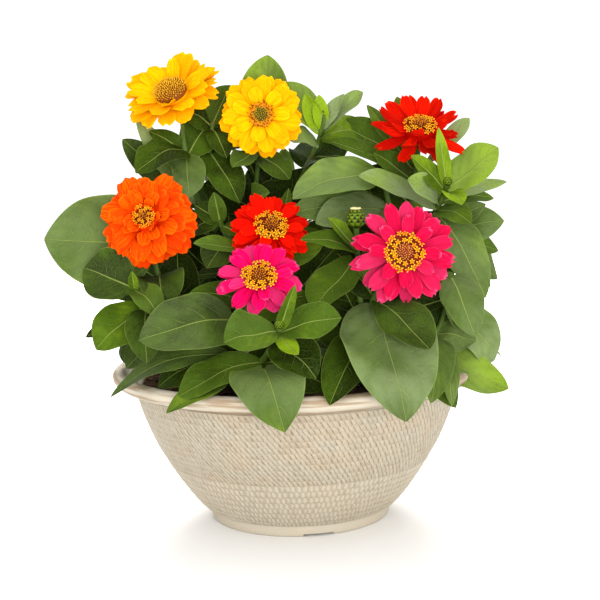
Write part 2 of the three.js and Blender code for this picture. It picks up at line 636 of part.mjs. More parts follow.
      ['left', 4, [-146, 98, 250], 28, 5, [230, 50], 0.5, 0.15],
      ['left', 4, [-78, 104, 260], 22, 4, [180, 45], 0.5, 0.2],
    ],
  },
};

// Wide leaves have more rows, and slim ones have no rib.
function leafSplit(width) {
  if (width >= 60) return [[0, 0.12, 0.34, 0.62, 0.86, 1], 2];
  if (width >= 33) return [[0, 0.18, 0.5, 0.8, 1], 2];
  if (width >= 25) return [[0, 0.22, 0.68, 1], 2];
  return [[0, 0.22, 0.68, 1], 1];
}

// A branch starts at the plant's root, or at the node of another branch that it forks from.
function branchPoints(plant, branch) {
  const [x, y] = plant.root;
  const start = branch.from ? plant.branches[branch.from[0]].nodes[branch.from[1] - 1] : [x, y, ROOT_TOP - 2];
  const points = [new THREE.Vector3(...start)];
  for (const node of branch.nodes) points.push(new THREE.Vector3(...node));
  if (branch.bloom) {
    const bloom = BLOOMS[branch.bloom];
    points.push(bloomFoot(bloom, CALYX_LENGTH + 2));
    points.push(bloomFoot(bloom, CALYX_LENGTH - 6));
  }
  return points;
}

function branchCurve(plant, branch) {
  const points = branchPoints(plant, branch);
  return { curve: new THREE.CatmullRomCurve3(points, false, 'centripetal'), steps: points.length };
}

// The leaves of one node leave the branch's middle line one below the other.
function leafRoot(plant, k) {
  const [name, node] = plant.leaves[k];
  const branch = plant.branches[name];
  const before = plant.leaves.slice(0, k).filter((leaf) => leaf[0] === name && leaf[1] === node).length;
  const { curve, steps } = branchCurve(plant, branch);
  const line = curve.getSpacedPoints(steps);
  const place = new THREE.Vector3(...branch.nodes[node - 1]);
  let best = null;
  for (let i = 0; i < steps; i += 1) {
    const piece = new THREE.Line3(line[i], line[i + 1]);
    const share = piece.closestPointToPointParameter(place, true);
    const foot = Math.max(0.03, share - (LEAF_STAGGER * (before + 1)) / piece.distance());
    const near = piece.at(share, new THREE.Vector3());
    const away = near.distanceTo(place);
    if (!best || away < best.away) best = { away, root: piece.at(foot, new THREE.Vector3()) };
  }
  return best.root;
}

function leafBlade(plant, k) {
  const [, , tip, width, bow, facing, belly, cup] = plant.leaves[k];
  const root = leafRoot(plant, k);
  return {
    petal: false, root, tip: new THREE.Vector3(...tip), width, bow, belly, cup,
    ripple: 0.06, phase: 1.7 * k, facing: aimed(...facing),
  };
}

// The cup of green scales under a bloom, in two tiers
function calyxSolid(bloom) {
  const low = -CALYX_LENGTH;
  const tiers = [[0, 0], [0.36, 0], [0.82, 0.38], [0.72, 0.44], [1, 1], [0, 1]];
  const profile = tiers.map(([r, z]) => [CALYX_RADIUS * r, low + (CALYX_TOP - low) * z]);
  const geometry = turned(profile, BUD_SIDES);
  geometry.applyQuaternion(bloomTurn(bloom));
  geometry.translate(...bloom.place);
  return toSolid(geometry);
}

// A closed bud, a ball of green scales in tiers
function budSolid(place, radius) {
  const tiers = [[0, -0.9], [1, -0.2], [0.88, -0.1], [0.95, 0.4], [0.65, 0.95], [0, 0.95]];
  const geometry = turned(tiers.map(([r, z]) => [r * radius, z * radius]), BUD_SIDES);
  geometry.translate(place.x, place.y, place.z + radius * 0.8);
  return toSolid(geometry);
}

function plantSolid(plant) {
  const [x, y] = plant.root;
  const height = ROOT_TOP - ROOT_BOTTOM;
  const root = new THREE.CylinderGeometry(ROOT_RADIUS, ROOT_RADIUS, height, ROOT_SIDES);
  root.rotateX(Math.PI / 2);
  root.translate(x, y, ROOT_BOTTOM + height / 2);
  const solids = [toSolid(root)];
  for (const branch of Object.values(plant.branches)) {
    const { curve, steps } = branchCurve(plant, branch);
    solids.push(toSolid(tube(curve, steps, BRANCH_RADIUS, BRANCH_SIDES)));
    if (branch.bloom) solids.push(calyxSolid(BLOOMS[branch.bloom]));
    if (branch.bud) solids.push(budSolid(curve.points[curve.points.length - 1], branch.bud));
  }
  for (let k = 0; k < plant.leaves.length; k += 1) {
    const blade = leafBlade(plant, k);
    solids.push(toSolid(bladeGeometry(blade, ...leafSplit(blade.width), LEAF_THICK)));
  }
  return fuse(solids);
}

// The ring of first petals on the round bud
function budRingSolid() {
  const branch = PLANTS.pink_plant.branches.bud;
  const [x, y, z] = branch.nodes[branch.nodes.length - 1];
  const low = z + branch.bud * 1.75 + GAP;
  const ring = turned([[1.6, low], [4, low], [4.6, low + 1.6], [2.6, low + 2.2], [1.6, low]], 8);
  ring.translate(x, y, 0);
  return toSolid(ring);
}

// The whole object

const group = new THREE.Group();
group.name = 'potted_zinnia';
group.add(toMesh('pot', potSolid(), 'pot_resin'));
group.add(toMesh('soil', soilSolid(Object.values(PLANTS).map((plant) => plant.root)), 'potting_soil'));
for (const [name, plant] of Object.entries(PLANTS)) {
  group.add(toMesh(name, plantSolid(plant), 'zinnia_green'));
}
for (const [name, bloom] of Object.entries(BLOOMS)) {
  const head = new THREE.Group();
  head.position.set(...bloom.place);
  head.quaternion.copy(bloomTurn(bloom));
  head.add(toMesh(`${name}_petals`, petalsSolid(bloom), bloom.petals));
  if (bloom.ring) head.add(toMesh(`${name}_florets`, floretsSolid(bloom), bloom.florets));
  head.add(toMesh(`${name}_cone`, coneSolid(bloom), bloom.coneSlot));
  group.add(head);
}
group.add(toMesh('bud_ring', budRingSolid(), 'yellow_florets'));

export default group;
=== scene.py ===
import math

import bpy
import numpy as np
from bpy.props import FloatProperty, FloatVectorProperty, IntProperty, PointerProperty
from mathutils import Matrix, Vector, noise
from mathutils.bvhtree import BVHTree


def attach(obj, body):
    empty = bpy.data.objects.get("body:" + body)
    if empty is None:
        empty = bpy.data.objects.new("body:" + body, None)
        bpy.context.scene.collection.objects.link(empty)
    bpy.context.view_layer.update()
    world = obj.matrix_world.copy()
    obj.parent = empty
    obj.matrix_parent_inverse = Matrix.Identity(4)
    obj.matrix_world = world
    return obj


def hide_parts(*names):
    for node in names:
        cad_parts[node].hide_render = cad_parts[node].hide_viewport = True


bl_info = {
    "name": "Potted zinnia",
    "version": (1, 0, 0),
    "blender": (4, 5, 0),
    "location": "3D View > Sidebar > Zinnia",
    "description": "Builds a bowl of zinnias around its packed frame",
    "category": "Object",
}

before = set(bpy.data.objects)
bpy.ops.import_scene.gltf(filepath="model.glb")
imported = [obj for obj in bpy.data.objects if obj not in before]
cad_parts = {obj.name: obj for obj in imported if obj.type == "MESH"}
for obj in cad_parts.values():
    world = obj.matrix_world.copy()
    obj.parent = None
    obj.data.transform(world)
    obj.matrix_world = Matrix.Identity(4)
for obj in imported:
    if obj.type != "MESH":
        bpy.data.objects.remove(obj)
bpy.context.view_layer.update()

# Sizes are in millimetres, +Z up, with the front toward -Y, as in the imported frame.
MM = 0.001
UP = np.array([0.0, 0, 1])

# Edges that turn by more than this, in degrees, stay crisp
SHARP = 50

# How much the points of a blade crowd toward its edges, up to 1
CROWDING = 0.92

# Between pieces that rest on each other
GAP = 0.3

# Pot
POT_HEIGHT = 126
FOOT_RADIUS = 72.5
FLOOR_HEIGHT = 13
FLOOR_RADIUS = 70
WALL = 4.5
NOTCHES = 4
NOTCH_WIDTH = 25
NOTCH_HEIGHT = 2.2
NOTCH_TURN = 11
RIM_SIDES = 240

# The outside of the wall as [radius, height], from the foot up to the neck under the rim
WALL_LINE = [
    [75.2, 9.5], [79, 12.6], [84.2, 18], [89.6, 24.7], [94.4, 31.3], [99, 38], [103.2, 44.7], [107.4, 51.4],
    [111.2, 58], [114.9, 64.6], [118, 71.3], [120.8, 77.9], [123.4, 84.5], [125.8, 91.1], [127.9, 97.7],
    [129.6, 104.5], [130.4, 109.2],
]

# The rolled rim from the neck outward and over to its inner lip
RIM_LINE = [
    [130.4, 109.2], [129.9, 110.6], [130.3, 111.9], [133.2, 112.4], [138, 112.7], [142.8, 113.8],
    [146.6, 115.8], [149, 118.4], [149.7, 120.8], [149.2, 123], [147.5, 124.8], [145.4, 125.7], [143, 125.8],
    [140.6, 125.1], [138, 123.2], [134.4, 119.8], [130.6, 115.6], [127, 111.6],
]

# The foot from the wall down, across its ring and the channel to the middle pad, and its notched points
FOOT_LINE = [
    [74.9, 9.3], [74.4, 8.6], [74.2, 7], [73.6, 4], [73, 1.6], [72.4, 0.5], [71.4, 0], [64, 0], [58.5, 0],
    [58, 0.3], [56.4, 1.8], [47.5, 1.8], [36.5, 1.8], [28, 1.8], [26, 0], [22, 0], [4, 0],
]
NOTCHED = slice(3, 10)

# The weave: coarse rows up to a height, and fine ones above. pot_wall says what each value is.
COARSE_TOP = 50
COARSE_DEPTH = 1.5
COARSE_ROWS = {"rows": 8, "stitches": 148, "lean": 0.5, "slant": 0.1, "ledge": 0.65, "point": 6, "fade": 0}
FINE_ROWS = {"rows": 12, "slant": 0.72, "ledge": 0.35, "point": 0.8, "fade": 0.5}

# Points across one stitch, and how far up its row its rings of points are
STITCH_POINTS = 4
STITCH_RINGS = [0, 0.22, 0.46, 0.72, 0.88]

# What a point of the pot is, for its finish
FINE, COARSE, INSIDE, PLAIN, ROLLED = 0, 0.2, 0.5, 0.55, 1

# Soil
SOIL_HEIGHT = 113
SOIL_CROWN = 3.2
SOIL_EDGE = 126
SOIL_RINGS = 34
CRUMBS = 420

# Plants
ROOT_RADIUS = 4.4
ROOT_BOTTOM = 80
ROOT_TOP = 121
BRANCH_RADIUS = 2.7
BRANCH_END_RADIUS = 1.9
BRANCH_SIDES = 10
NODE_SWELL = 0.7
NODE_REACH = 3.5
LEAF_STAGGER = 2
LEAF_THICKNESS = 0.8
CALYX_LENGTH = 17
CALYX_RADIUS = 9
CALYX_TOP = -4.3
BROAD_BUD = 5

# Filling leaves: steps up a branch, tries at each place, and the space over the soil that holds them
FILL_START = 5
FILL_STEP = 13
FILL_TRIES = 5
# Filling leaves are dark, painted shade deep inside the plant
FILL_SHADES = ("deep", "dark", "dark", "dim")
FILL_RADIUS = 118
FILL_FLOOR = 112

# Blooms
SWAY = 3.6
PETAL_THICKNESS = 0.5
ANTHERS = 84
GOLDEN_ANGLE = 2.39996

# Which of a plant's finishes its parts wear
LEAF, STEM, SCALE = 0, 1, 2

# Colours that stay as they are, whatever the looks
STEM_BLUSH = (0.13, 0.045, 0.02)
SCALE_EDGE = (0.008, 0.009, 0.003)
PALE_GRAIN = (0.42, 0.36, 0.28)
FLOOR_CLOUD = (0.94, 0.94, 0.94)

# What goes with a petal's own colour: deep in its lines and at its claw, at its rim, on its reverse, and on its
# lower tiers
# At the claw the deep colour is partly painted shade where petals crowd at the disc; blooms with three colours
# here also darken their lower tiers with it, as painted shade
PETAL_COLOURS = {
    "yellow": [(0.83, 0.31, 0.001), (0.93, 0.55, 0.004), (0.85, 0.38, 0.001)],
    "orange": [(0.75, 0.03, 0.001), (0.92, 0.15, 0.004), (0.8, 0.05, 0.001)],
    "scarlet": [(0.55, 0.003, 0.001), (0.9, 0.025, 0.001), (0.7, 0.01, 0.003)],
    "red": [(0.4, 0.002, 0.001), (0.75, 0.05, 0.002), (0.5, 0.006, 0.002)],
    "magenta": [(0.45, 0.001, 0.035), (0.7, 0.09, 0.26), (0.68, 0.09, 0.26), (0.58, 0.02, 0.12)],
    "pink": [(0.5, 0.002, 0.03), (0.74, 0.11, 0.25), (0.68, 0.09, 0.22), (0.56, 0.02, 0.09)],
}

# Cones, anthers and the bud's ring: at the foot, their own colour, and at the tips
POINT_COLOURS = {
    "golden": [(0.2, 0.055, 0.006), (0.5, 0.22, 0.012), (0.82, 0.46, 0.02)],
    "olive": [(0.1, 0.05, 0.006), (0.26, 0.2, 0.014), (0.5, 0.4, 0.03)],
    "rosy": [(0.22, 0.035, 0.015), (0.52, 0.12, 0.035), (0.8, 0.34, 0.06)],
}
BROWN_FOOT, BROWN_TIP = (0.1, 0.015, 0.004), (0.72, 0.26, 0.015)
FLORET_FOOT, FLORET_TIP = (0.16, 0.015, 0.002), (0.93, 0.52, 0.012)
ANTHER_COLOURS = [(0.7, 0.25, 0.004), (0.34, 0.1, 0.008), (0.22, 0.055, 0.007)]
BUD_RING_COLOURS = [(0.12, 0.07, 0.01), (0.6, 0.5, 0.17), (0.8, 0.72, 0.36)]

# Stage, in metres. A light: name, place, size and its share of the light power.
FLOOR_HALF = 1.9
AIM_HEIGHT = 0.18
LIGHTS = [
    ("key_light", (-0.5, -2.1, 0.9), 1.1, 0.29), ("fill_light", (0.5, -2.0, 0.25), 0.7, 0.73),
    ("back_light", (0.0, 2.2, 1.3), 1.2, 2.0), ("high_back_light", (0.0, 1.2, 2.4), 1.2, 0.9),
]
CAMERA_PLACE = (0.0043, -1.1, 0.3246)
CAMERA_PITCH, CAMERA_ROLL = 0.134, -0.029
SENSOR_WIDTH, LENS = 36, 81.83

# Blooms: place of the disc, aim [turn, rise], the disc's and cone's [radius, height], the ring's
# [inner, outer, floret size], and layers of petals from the lowest up.
# A layer: count, length, width, rise at the disc's edge, bow, cup, and how far the tips curl over.
# reach is how much longer the petals are toward a turn, and strays are [turn, length, rise].
BLOOMS = {
    "yellow_left": {
        "place": [-92, 0, 343], "aim": [-20, 42], "core": [13, 4], "ring": None, "cone": [13.5, 9],
        "stretch": [1.08, 0.94], "reach": (0.3, 100),
        "strays": [
            (28, 32, 4), (8, 26, 4), (50, 31, 4), (66, 35, 4), (131, 42, 4), (150, 34, 4), (172, 28, 4),
            (202, 28, 4),
        ],
        "petals": "yellow_petals", "slot": "brown_cone", "points": "golden",
        "tip": 0.6, "notch": 0.08, "claw": 0.5, "ragged": 1.1, "seed": 11,
        "layers": [
            [10, 26.5, 16, -7, 1.5, 0.1, 2], [8, 24.5, 17, 10, 2, 0.15, -1], [4, 19, 11, 24, 1, 0.3, -1],
        ],
    },
    "yellow_right": {
        "place": [-22, -16, 326], "aim": [0, 7], "core": [9, 4], "ring": [6, 10.6, 1.1], "cone": [6, 3.6],
        "petals": "yellow_petals", "florets": "brown_cone", "slot": "olive_cone", "points": "olive",
        "tip": 0.68, "notch": 0.05, "claw": 0.45, "ragged": 0.8, "seed": 12, "stretch": [0.96, 0.96],
        "layers": [
            [13, 27, 15, -2, 2, 0.1, 1.5], [11, 24.5, 14, 6, 1.5, 0.1, 1], [7, 17, 12, 12, 1, 0.15, 0.5],
        ],
    },
    "orange": {
        "place": [-110, -62, 250], "aim": [-8, 16], "core": [13, 11], "ring": [2.5, 8, 2.2], "cone": [3, 4],
        "reach": (0.07, -70),
        "petals": "orange_petals", "florets": "yellow_florets", "slot": "brown_cone", "points": "brown",
        "tip": 0.75, "notch": 0.05, "claw": 0.45, "ragged": 1.9, "seed": 13,
        "layers": [
            [12, 27, 16, -30, 3, 0.15, 2.5], [13, 28, 16, -14, 3, 0.15, 2.5], [13, 28, 15, 2, 3, 0.15, 2.5],
            [12, 25, 14, 18, 2.5, 0.15, 2], [11, 22, 12, 33, 2, 0.2, 2], [9, 17, 10.5, 48, 1, 0.25, 1.5],
            [6, 13, 8.5, 64, 1, 0.3, 1],
        ],
    },
    "scarlet": {
        "place": [-16.5, -62, 240], "aim": [8, 34], "core": [11, 4], "ring": [6, 11, 2.7], "cone": [5.2, 5],
        "petals": "scarlet_petals", "florets": "yellow_florets", "slot": "brown_cone", "points": "brown",
        "tip": 0.5, "notch": 0.1, "claw": 0.42, "ragged": 1.0, "seed": 14, "stretch": [1.07, 1.04],
        "layers": [
            [12, 22, 10.5, -8, 1, 0.2, 1], [11, 21, 10, 8, 1, 0.25, 1], [7, 16, 8, 24, 1, 0.3, 1],
        ],
    },
    "red": {
        "place": [103.5, -8, 311], "aim": [0, 47], "core": [13, 4], "ring": [6, 11.8, 2.8], "cone": [6.2, 5.5],
        "stretch": [1.02, 0.91], "reach": (0.15, 150),
        "petals": "scarlet_petals", "florets": "yellow_florets", "slot": "brown_cone", "points": "brown",
        "tip": 0.55, "notch": 0.1, "claw": 0.4, "ragged": 1.4, "seed": 15,
        "strays": [(-42, 35, 0), (-60, 36, -20), (100, 34, 6), (126, 33, 6)],
        "layers": [
            [9, 27, 11, -6, -1, 0.3, -2], [8, 25, 11, 14, -2, 0.35, -3], [4, 21, 10, 38, -2, 0.4, -3],
        ],
    },
    "magenta": {
        "place": [-25, -110, 207.5], "aim": [2, 34], "core": [11, 4], "ring": [5.8, 11, 2.7], "cone": [5.2, 5],
        "petals": "magenta_petals", "florets": "yellow_florets", "slot": "brown_cone", "points": "brown",
        "tip": 0.52, "notch": 0.06, "claw": 0.42, "ragged": 0.9, "seed": 16,
        "stretch": [1.06, 0.97], "reach": (0.1, 95),
        "layers": [
            [11, 22, 11.5, -10, 1.5, 0.25, 1], [10, 21, 10.5, 6, 1.5, 0.3, 1], [5, 16, 8.5, 22, 1, 0.35, 1],
        ],
    },
    "pink": {
        "place": [81.5, -100, 222.5], "aim": [4, 14], "core": [13, 4], "ring": [6.8, 13.4, 2.9], "cone": [6, 5],
        "petals": "pink_petals", "florets": "yellow_florets", "slot": "brown_cone", "points": "rosy",
        "tip": 0.48, "notch": 0.07, "claw": 0.36, "ragged": 1.1, "seed": 17, "stretch": [1.02, 1.02],
        "layers": [
            [13, 29, 11.5, -7, 2, 0.3, 1.5], [12, 27, 11, 6, 2, 0.35, 1], [8, 18, 9.5, 20, 1.5, 0.45, 1],
        ],
    },
}

# Leaf shades: how young and bright it is, and how grey its painted sheen
# The darkest shades are painted shade for leaves deep in the plant, the lightest partly painted light on leaves
# lit through
SHADES = {
    "deep": (0.02, 0.0), "dark": (0.16, 0.0), "dusk": (0.28, 0.2), "dim": (0.24, 0.06), "mid": (0.38, 0.03),
    "green": (0.5, 0.07), "grey": (0.45, 0.36), "silver": (0.45, 0.7), "leafy": (0.53, 0.0),
    "young": (0.7, 0.02), "bright": (1.0, 0.0), "light": (0.8, 0.28), "pale": (0.8, 0.95),
}

# Plants. A branch lists its leaf nodes from the root up. It may fork from another branch's node, and
# may end in a bloom or in a bud, given by its radius.
# A leaf: branch, node, tip, width, bow, facing [turn, rise], belly, cup, shade.
PLANTS = {
    "orange_plant": {
        "root": [-72, -20],
        "branches": {
            "stem": {"nodes": [[-90, -34, 165], [-106, -38, 203], [-109, -35, 228]], "bloom": "orange"},
            "shoot": {"nodes": [[-98, -50, 158], [-115, -68, 186], [-123, -76, 201]]},
        },
        "leaves": [
            ["stem", 3, [-193, -42, 235.5], 76, 6, [-12, 14], 0.42, 0.12, "grey"],
            ["stem", 2, [-98, -90, 181], 38, 14, [5, 30], 0.45, 0.1, "dim"],
            ["stem", 2, [-165, 25, 212], 52, 10, [-120, 50], 0.45, 0.1, "dark"],
            ["stem", 1, [-140, 2, 128], 44, 12, [-85, 55], 0.45, 0.1, "dark"],
            ["shoot", 3, [-160, -62, 214], 41, 5, [-25, 30], 0.45, 0.25, "dim"],
            ["shoot", 3, [-99, -104, 179], 25, 5, [20, 30], 0.42, 0.3, "green"],
            ["shoot", 3, [-121, -84, 213], 8, 1, [0, 20], 0.5, 0.3, "leafy"],
            ["shoot", 2, [-150, -88, 155], 36, 5, [-20, 15], 0.54, 0.15, "leafy"],
            ["shoot", 2, [-110, -108, 147], 30, 8, [0, 15], 0.5, 0.1, "dim"],
        ],
    },
    "yellow_plant": {
        "root": [-50, 38],
        "branches": {
            "left": {"nodes": [[-62, 32, 190], [-76, 16, 255], [-85, 6, 302]], "bloom": "yellow_left"},
            "right": {"nodes": [[-45, 35, 190], [-32, 24, 250], [-25, 10, 300]], "bloom": "yellow_right"},
            "side": {"from": ["left", 1], "nodes": [[-64, 26, 250], [-66, 16, 300], [-62, 16, 322]]},
            "top": {
                "from": ["right", 1], "bud": 3.4,
                "nodes": [[-12, 30, 240], [14, 16, 285], [26, 3, 313], [28.5, 0, 326]],
            },
        },
        "leaves": [
            ["left", 3, [-122, -23, 284], 38, 7, [-25, 25], 0.42, 0.1, "dark"],
            ["left", 3, [-80, -37, 264], 28, 2, [15, 20], 0.5, 0.15, "grey"],
            ["left", 3, [-113, 2, 316], 18, 3, [-10, 40], 0.5, 0.1, "dark"],
            ["left", 3, [-62, 22, 328], 32, 2, [5, 25], 0.5, 0.1, "dark"],
            ["left", 2, [-136, 15, 310], 26, -3, [-25, 15], 0.6, 0.1, "dim"],
            ["left", 2, [-120, 60, 262], 48, 8, [-130, 45], 0.45, 0.1, "dark"],
            ["left", 1, [-96, -4, 232], 44, 4, [-10, 25], 0.5, 0.1, "deep"],
            ["side", 3, [-47, 20, 351], 26, 3, [10, 30], 0.5, 0.15, "mid"],
            ["side", 3, [-86, 14, 332], 24, 3, [-10, 40], 0.5, 0.1, "dark"],
            ["side", 3, [-51, -5, 293], 20, 4, [15, 30], 0.5, 0.1, "dark"],
            ["side", 2, [-41, -25, 258], 30, 6, [10, 20], 0.5, 0.1, "dark"],
            ["right", 3, [-16, 14, 374], 39, 0, [0, 5], 0.58, 0.1, "light"],
            ["right", 3, [-46, -18, 286], 22, 3, [-15, 35], 0.5, 0.1, "green"],
            ["right", 3, [-1, -14, 275], 24, 4, [10, 30], 0.55, 0.1, "mid"],
            ["right", 2, [-17, -34, 266], 26, 6, [0, 20], 0.45, 0.15, "green"],
            ["right", 2, [-40, 88, 268], 46, 8, [180, 45], 0.45, 0.1, "dark"],
            ["right", 1, [-52, 6, 246], 38, 4, [0, 25], 0.5, 0.1, "deep"],
            ["top", 3, [-3, 22, 352], 26, 5, [0, 25], 0.55, 0.1, "light"],
            ["top", 3, [13, -6, 342], 15, -1, [-10, 15], 0.5, 0.3, "bright"],
            ["top", 3, [59, -5, 342], 19, 1, [0, 50], 0.75, 0.25, "pale"],
            ["top", 3, [66, 26, 312], 32, 4, [20, 45], 0.5, 0.1, "young"],
            ["top", 3, [42, -15, 314], 16, 2, [10, 50], 0.5, 0.1, "young"],
            ["top", 3, [-1, -4, 306], 30, 3, [0, 55], 0.5, 0.1, "pale"],
            ["top", 2, [40, -10, 292], 34, 5, [10, 55], 0.5, 0.1, "deep"],
            ["top", 2, [30, 66, 300], 40, 8, [160, 50], 0.45, 0.1, "deep"],
        ],
    },
    "scarlet_plant": {
        "root": [-12, -12],
        "branches": {
            "stem": {"nodes": [[-14, -18, 170], [-16, -30, 211]], "bloom": "scarlet"},
            "shoot": {"from": ["stem", 1], "nodes": [[-30, -24, 200], [-50, -32, 230], [-57, -38, 246]]},
        },
        "leaves": [
            ["stem", 2, [-74, -86, 233], 22, 5, [0, 45], 0.5, 0.1, "green"],
            ["stem", 1, [-78, -88, 196], 24, 8, [-5, 35], 0.55, 0.1, "mid"],
            ["stem", 2, [26, -36, 233], 30, 6, [10, 30], 0.5, 0.1, "mid"],
            ["stem", 2, [-2, -14, 268], 14, 3, [0, 20], 0.5, 0.1, "mid"],
            ["stem", 1, [34, -30, 222], 42, 5, [5, 20], 0.5, 0.1, "deep"],
            ["shoot", 3, [-60, -42, 268], 14, 1, [0, 15], 0.45, 0.3, "mid"],
            ["shoot", 3, [-76, -34, 258], 18, 3, [0, 35], 0.5, 0.2, "dark"],
            ["shoot", 3, [-36, -48, 232], 16, 3, [10, 40], 0.5, 0.2, "dark"],
            ["shoot", 2, [-66, -68, 212], 30, 5, [0, 25], 0.5, 0.1, "dim"],
        ],
    },
    "magenta_plant": {
        "root": [-38, -76],
        "branches": {
            "stem": {"nodes": [[-42, -80, 148], [-45, -84, 176]], "bloom": "magenta"},
            "shoot": {"nodes": [[-25, -98, 144], [-14, -122, 164], [-11, -133, 174]], "bud": 3.4},
        },
        "leaves": [
            ["stem", 2, [-114, -118, 166], 50, 8, [-15, 25], 0.45, 0.1, "dusk"],
            ["stem", 2, [12, -76, 190], 30, 6, [10, 40], 0.5, 0.1, "leafy"],
            ["stem", 1, [-139, -102, 121], 24, 15, [-20, 60], 0.5, 0.15, "dusk"],
            ["shoot", 3, [1, -138, 206], 11, 0, [20, 10], 0.4, 0.3, "leafy"],
            ["shoot", 3, [-50, -152, 168], 36, 4, [-10, 40], 0.55, 0.2, "green"],
            ["shoot", 3, [33, -150, 183], 30, 3, [10, 35], 0.6, 0.2, "mid"],
            ["shoot", 3, [2, -158, 159], 13, -2, [0, 30], 0.45, 0.3, "bright"],
            ["shoot", 2, [14, -148, 140], 36, 6, [10, 35], 0.5, 0.1, "deep"],
            ["shoot", 1, [-9, -167, 106], 56, 12, [0, 30], 0.42, 0.1, "grey"],
            ["shoot", 1, [-94, -140, 116], 28, 4, [-35, 50], 0.5, 0.1, "green"],
        ],
    },
    "pink_plant": {
        "root": [58, -54],
        "branches": {
            "stem": {"nodes": [[56, -62, 150], [61, -68, 186], [72, -74, 204]], "bloom": "pink"},
            "bud": {
                "from": ["stem", 1], "bud": 7.2,
                "nodes": [[50, -58, 190], [49, -62, 224], [48.5, -68, 240]],
            },
            "low": {"nodes": [[85, -55, 140], [108, -58, 155], [118, -52, 178], [120, -62, 202]]},
        },
        "leaves": [
            ["stem", 2, [95, -146, 158], 36, 5, [5, 35], 0.64, 0.1, "dim"],
            ["stem", 2, [76, -167, 111], 70, 12, [5, 30], 0.48, 0.08, "silver"],
            ["stem", 1, [23, -157, 122], 38, 12, [0, 50], 0.5, 0.1, "dark"],
            ["stem", 1, [14, -44, 172], 40, 4, [-5, 30], 0.5, 0.1, "mid"],
            ["bud", 2, [27, -86, 249], 12, 1, [0, 35], 0.5, 0.25, "leafy"],
            ["bud", 2, [6, -95, 234], 20, 4, [0, 50], 0.5, 0.15, "leafy"],
            ["bud", 2, [63, -97, 192], 22, 3, [30, 20], 0.6, 0.1, "green"],
            ["bud", 2, [14, -105, 182], 38, 2, [-30, 20], 0.5, 0.1, "mid"],
            ["low", 1, [163, -68, 112], 41, 3, [20, 45], 0.54, 0.1, "light"],
            ["low", 2, [98, -122, 114], 28, 10, [15, 30], 0.5, 0.1, "grey"],
            ["low", 3, [157, -37, 129], 41, 8, [25, 25], 0.5, 0.1, "silver"],
            ["low", 2, [114, -113, 109], 18, 10, [20, 40], 0.5, 0.1, "grey"],
            ["low", 4, [135, -84, 156], 32, 5, [10, 12], 0.45, 0.1, "grey"],
        ],
    },
    "red_plant": {
        "root": [80, 22],
        "branches": {
            "stem": {"nodes": [[86, 22, 142], [90, 16, 190], [97, 10, 250], [101, 8, 278]], "bloom": "red"},
            "side": {"from": ["stem", 2], "nodes": [[86, 4, 215], [78, -8, 250], [72, -14, 280]]},
            "tip": {
                "from": ["stem", 2], "bud": 3.6,
                "nodes": [[104, -4, 225], [117, -22, 254], [122, -33, 268]],
            },
        },
        "leaves": [
            ["stem", 4, [88, 22, 338], 18, 1, [0, 20], 0.6, 0.1, "green"],
            ["stem", 4, [63, 16, 332], 14, 3, [0, 40], 0.6, 0.1, "green"],
            ["stem", 4, [145, 8, 319], 14, 3, [0, 25], 0.75, 0.1, "pale"],
            ["stem", 4, [30, -5, 304], 28, 6, [0, 50], 0.4, 0.15, "mid"],
            ["stem", 4, [66, -14, 294], 20, 3, [0, 30], 0.5, 0.1, "mid"],
            ["stem", 3, [130, 70, 270], 46, 8, [140, 45], 0.45, 0.1, "young"],
            ["stem", 3, [50, -8, 236], 42, 4, [0, 35], 0.5, 0.1, "dark"],
            ["stem", 2, [165, 40, 205], 48, 10, [110, 45], 0.45, 0.1, "grey"],
            ["stem", 1, [172, 28, 120], 44, 14, [100, 55], 0.45, 0.1, "grey"],
            ["stem", 1, [114, -22, 186], 46, 3, [5, 25], 0.5, 0.1, "deep"],
            ["side", 3, [1, -75, 263], 42, 8, [-10, 45], 0.45, 0.08, "grey"],
            ["side", 2, [18, -60, 243], 36, 6, [-5, 35], 0.5, 0.08, "silver"],
            ["tip", 3, [115, -38, 313], 11, 1, [0, 10], 0.4, 0.3, "young"],
            ["tip", 3, [161, -40, 296], 34, -2, [15, 40], 0.52, 0.25, "light"],
            ["tip", 3, [93, -45, 292], 18, 1, [-10, 35], 0.5, 0.2, "leafy"],
            ["tip", 2, [89, -57, 274], 22, 4, [-10, 30], 0.6, 0.15, "pale"],
            ["tip", 3, [130, -60, 254], 20, 3, [10, 45], 0.5, 0.2, "young"],
            ["tip", 2, [172, -10, 268], 14, 4, [20, 60], 0.6, 0.1, "pale"],
            ["tip", 2, [52, -50, 278], 28, 4, [-5, 50], 0.5, 0.08, "pale"],
            ["tip", 2, [138, -50, 239], 24, 4, [10, 30], 0.5, 0.1, "green"],
            ["tip", 2, [149, -45, 180], 36, 8, [15, 20], 0.45, 0.1, "grey"],
            ["tip", 1, [169, -12, 237], 38, 6, [35, 30], 0.5, 0.1, "grey"],
            ["tip", 1, [164, -8, 190], 40, 6, [50, 25], 0.55, 0.1, "grey"],
        ],
    },
    "back_plant": {
        "root": [10, 70],
        "branches": {
            "middle": {"nodes": [[8, 78, 138], [4, 86, 168], [-2, 92, 215], [-4, 95, 262]], "bud": 3.4},
            "right": {"nodes": [[46, 78, 138], [70, 84, 168], [92, 84, 206], [104, 80, 240]], "bud": 3.4},
            "left": {"nodes": [[-42, 80, 136], [-72, 84, 164], [-92, 82, 196], [-104, 76, 230]], "bud": 3.4},
        },
        "leaves": [
            ["middle", 1, [12, 170, 118], 44, 14, [175, 55], 0.45, 0.1, "mid"],
            ["middle", 2, [74, 134, 150], 42, 8, [160, 55], 0.45, 0.1, "grey"],
            ["middle", 2, [-64, 136, 150], 42, 8, [200, 55], 0.45, 0.1, "green"],
            ["middle", 3, [0, 162, 200], 46, 8, [180, 45], 0.45, 0.1, "grey"],
            ["middle", 3, [12, 40, 236], 46, 4, [0, 45], 0.45, 0.1, "deep"],
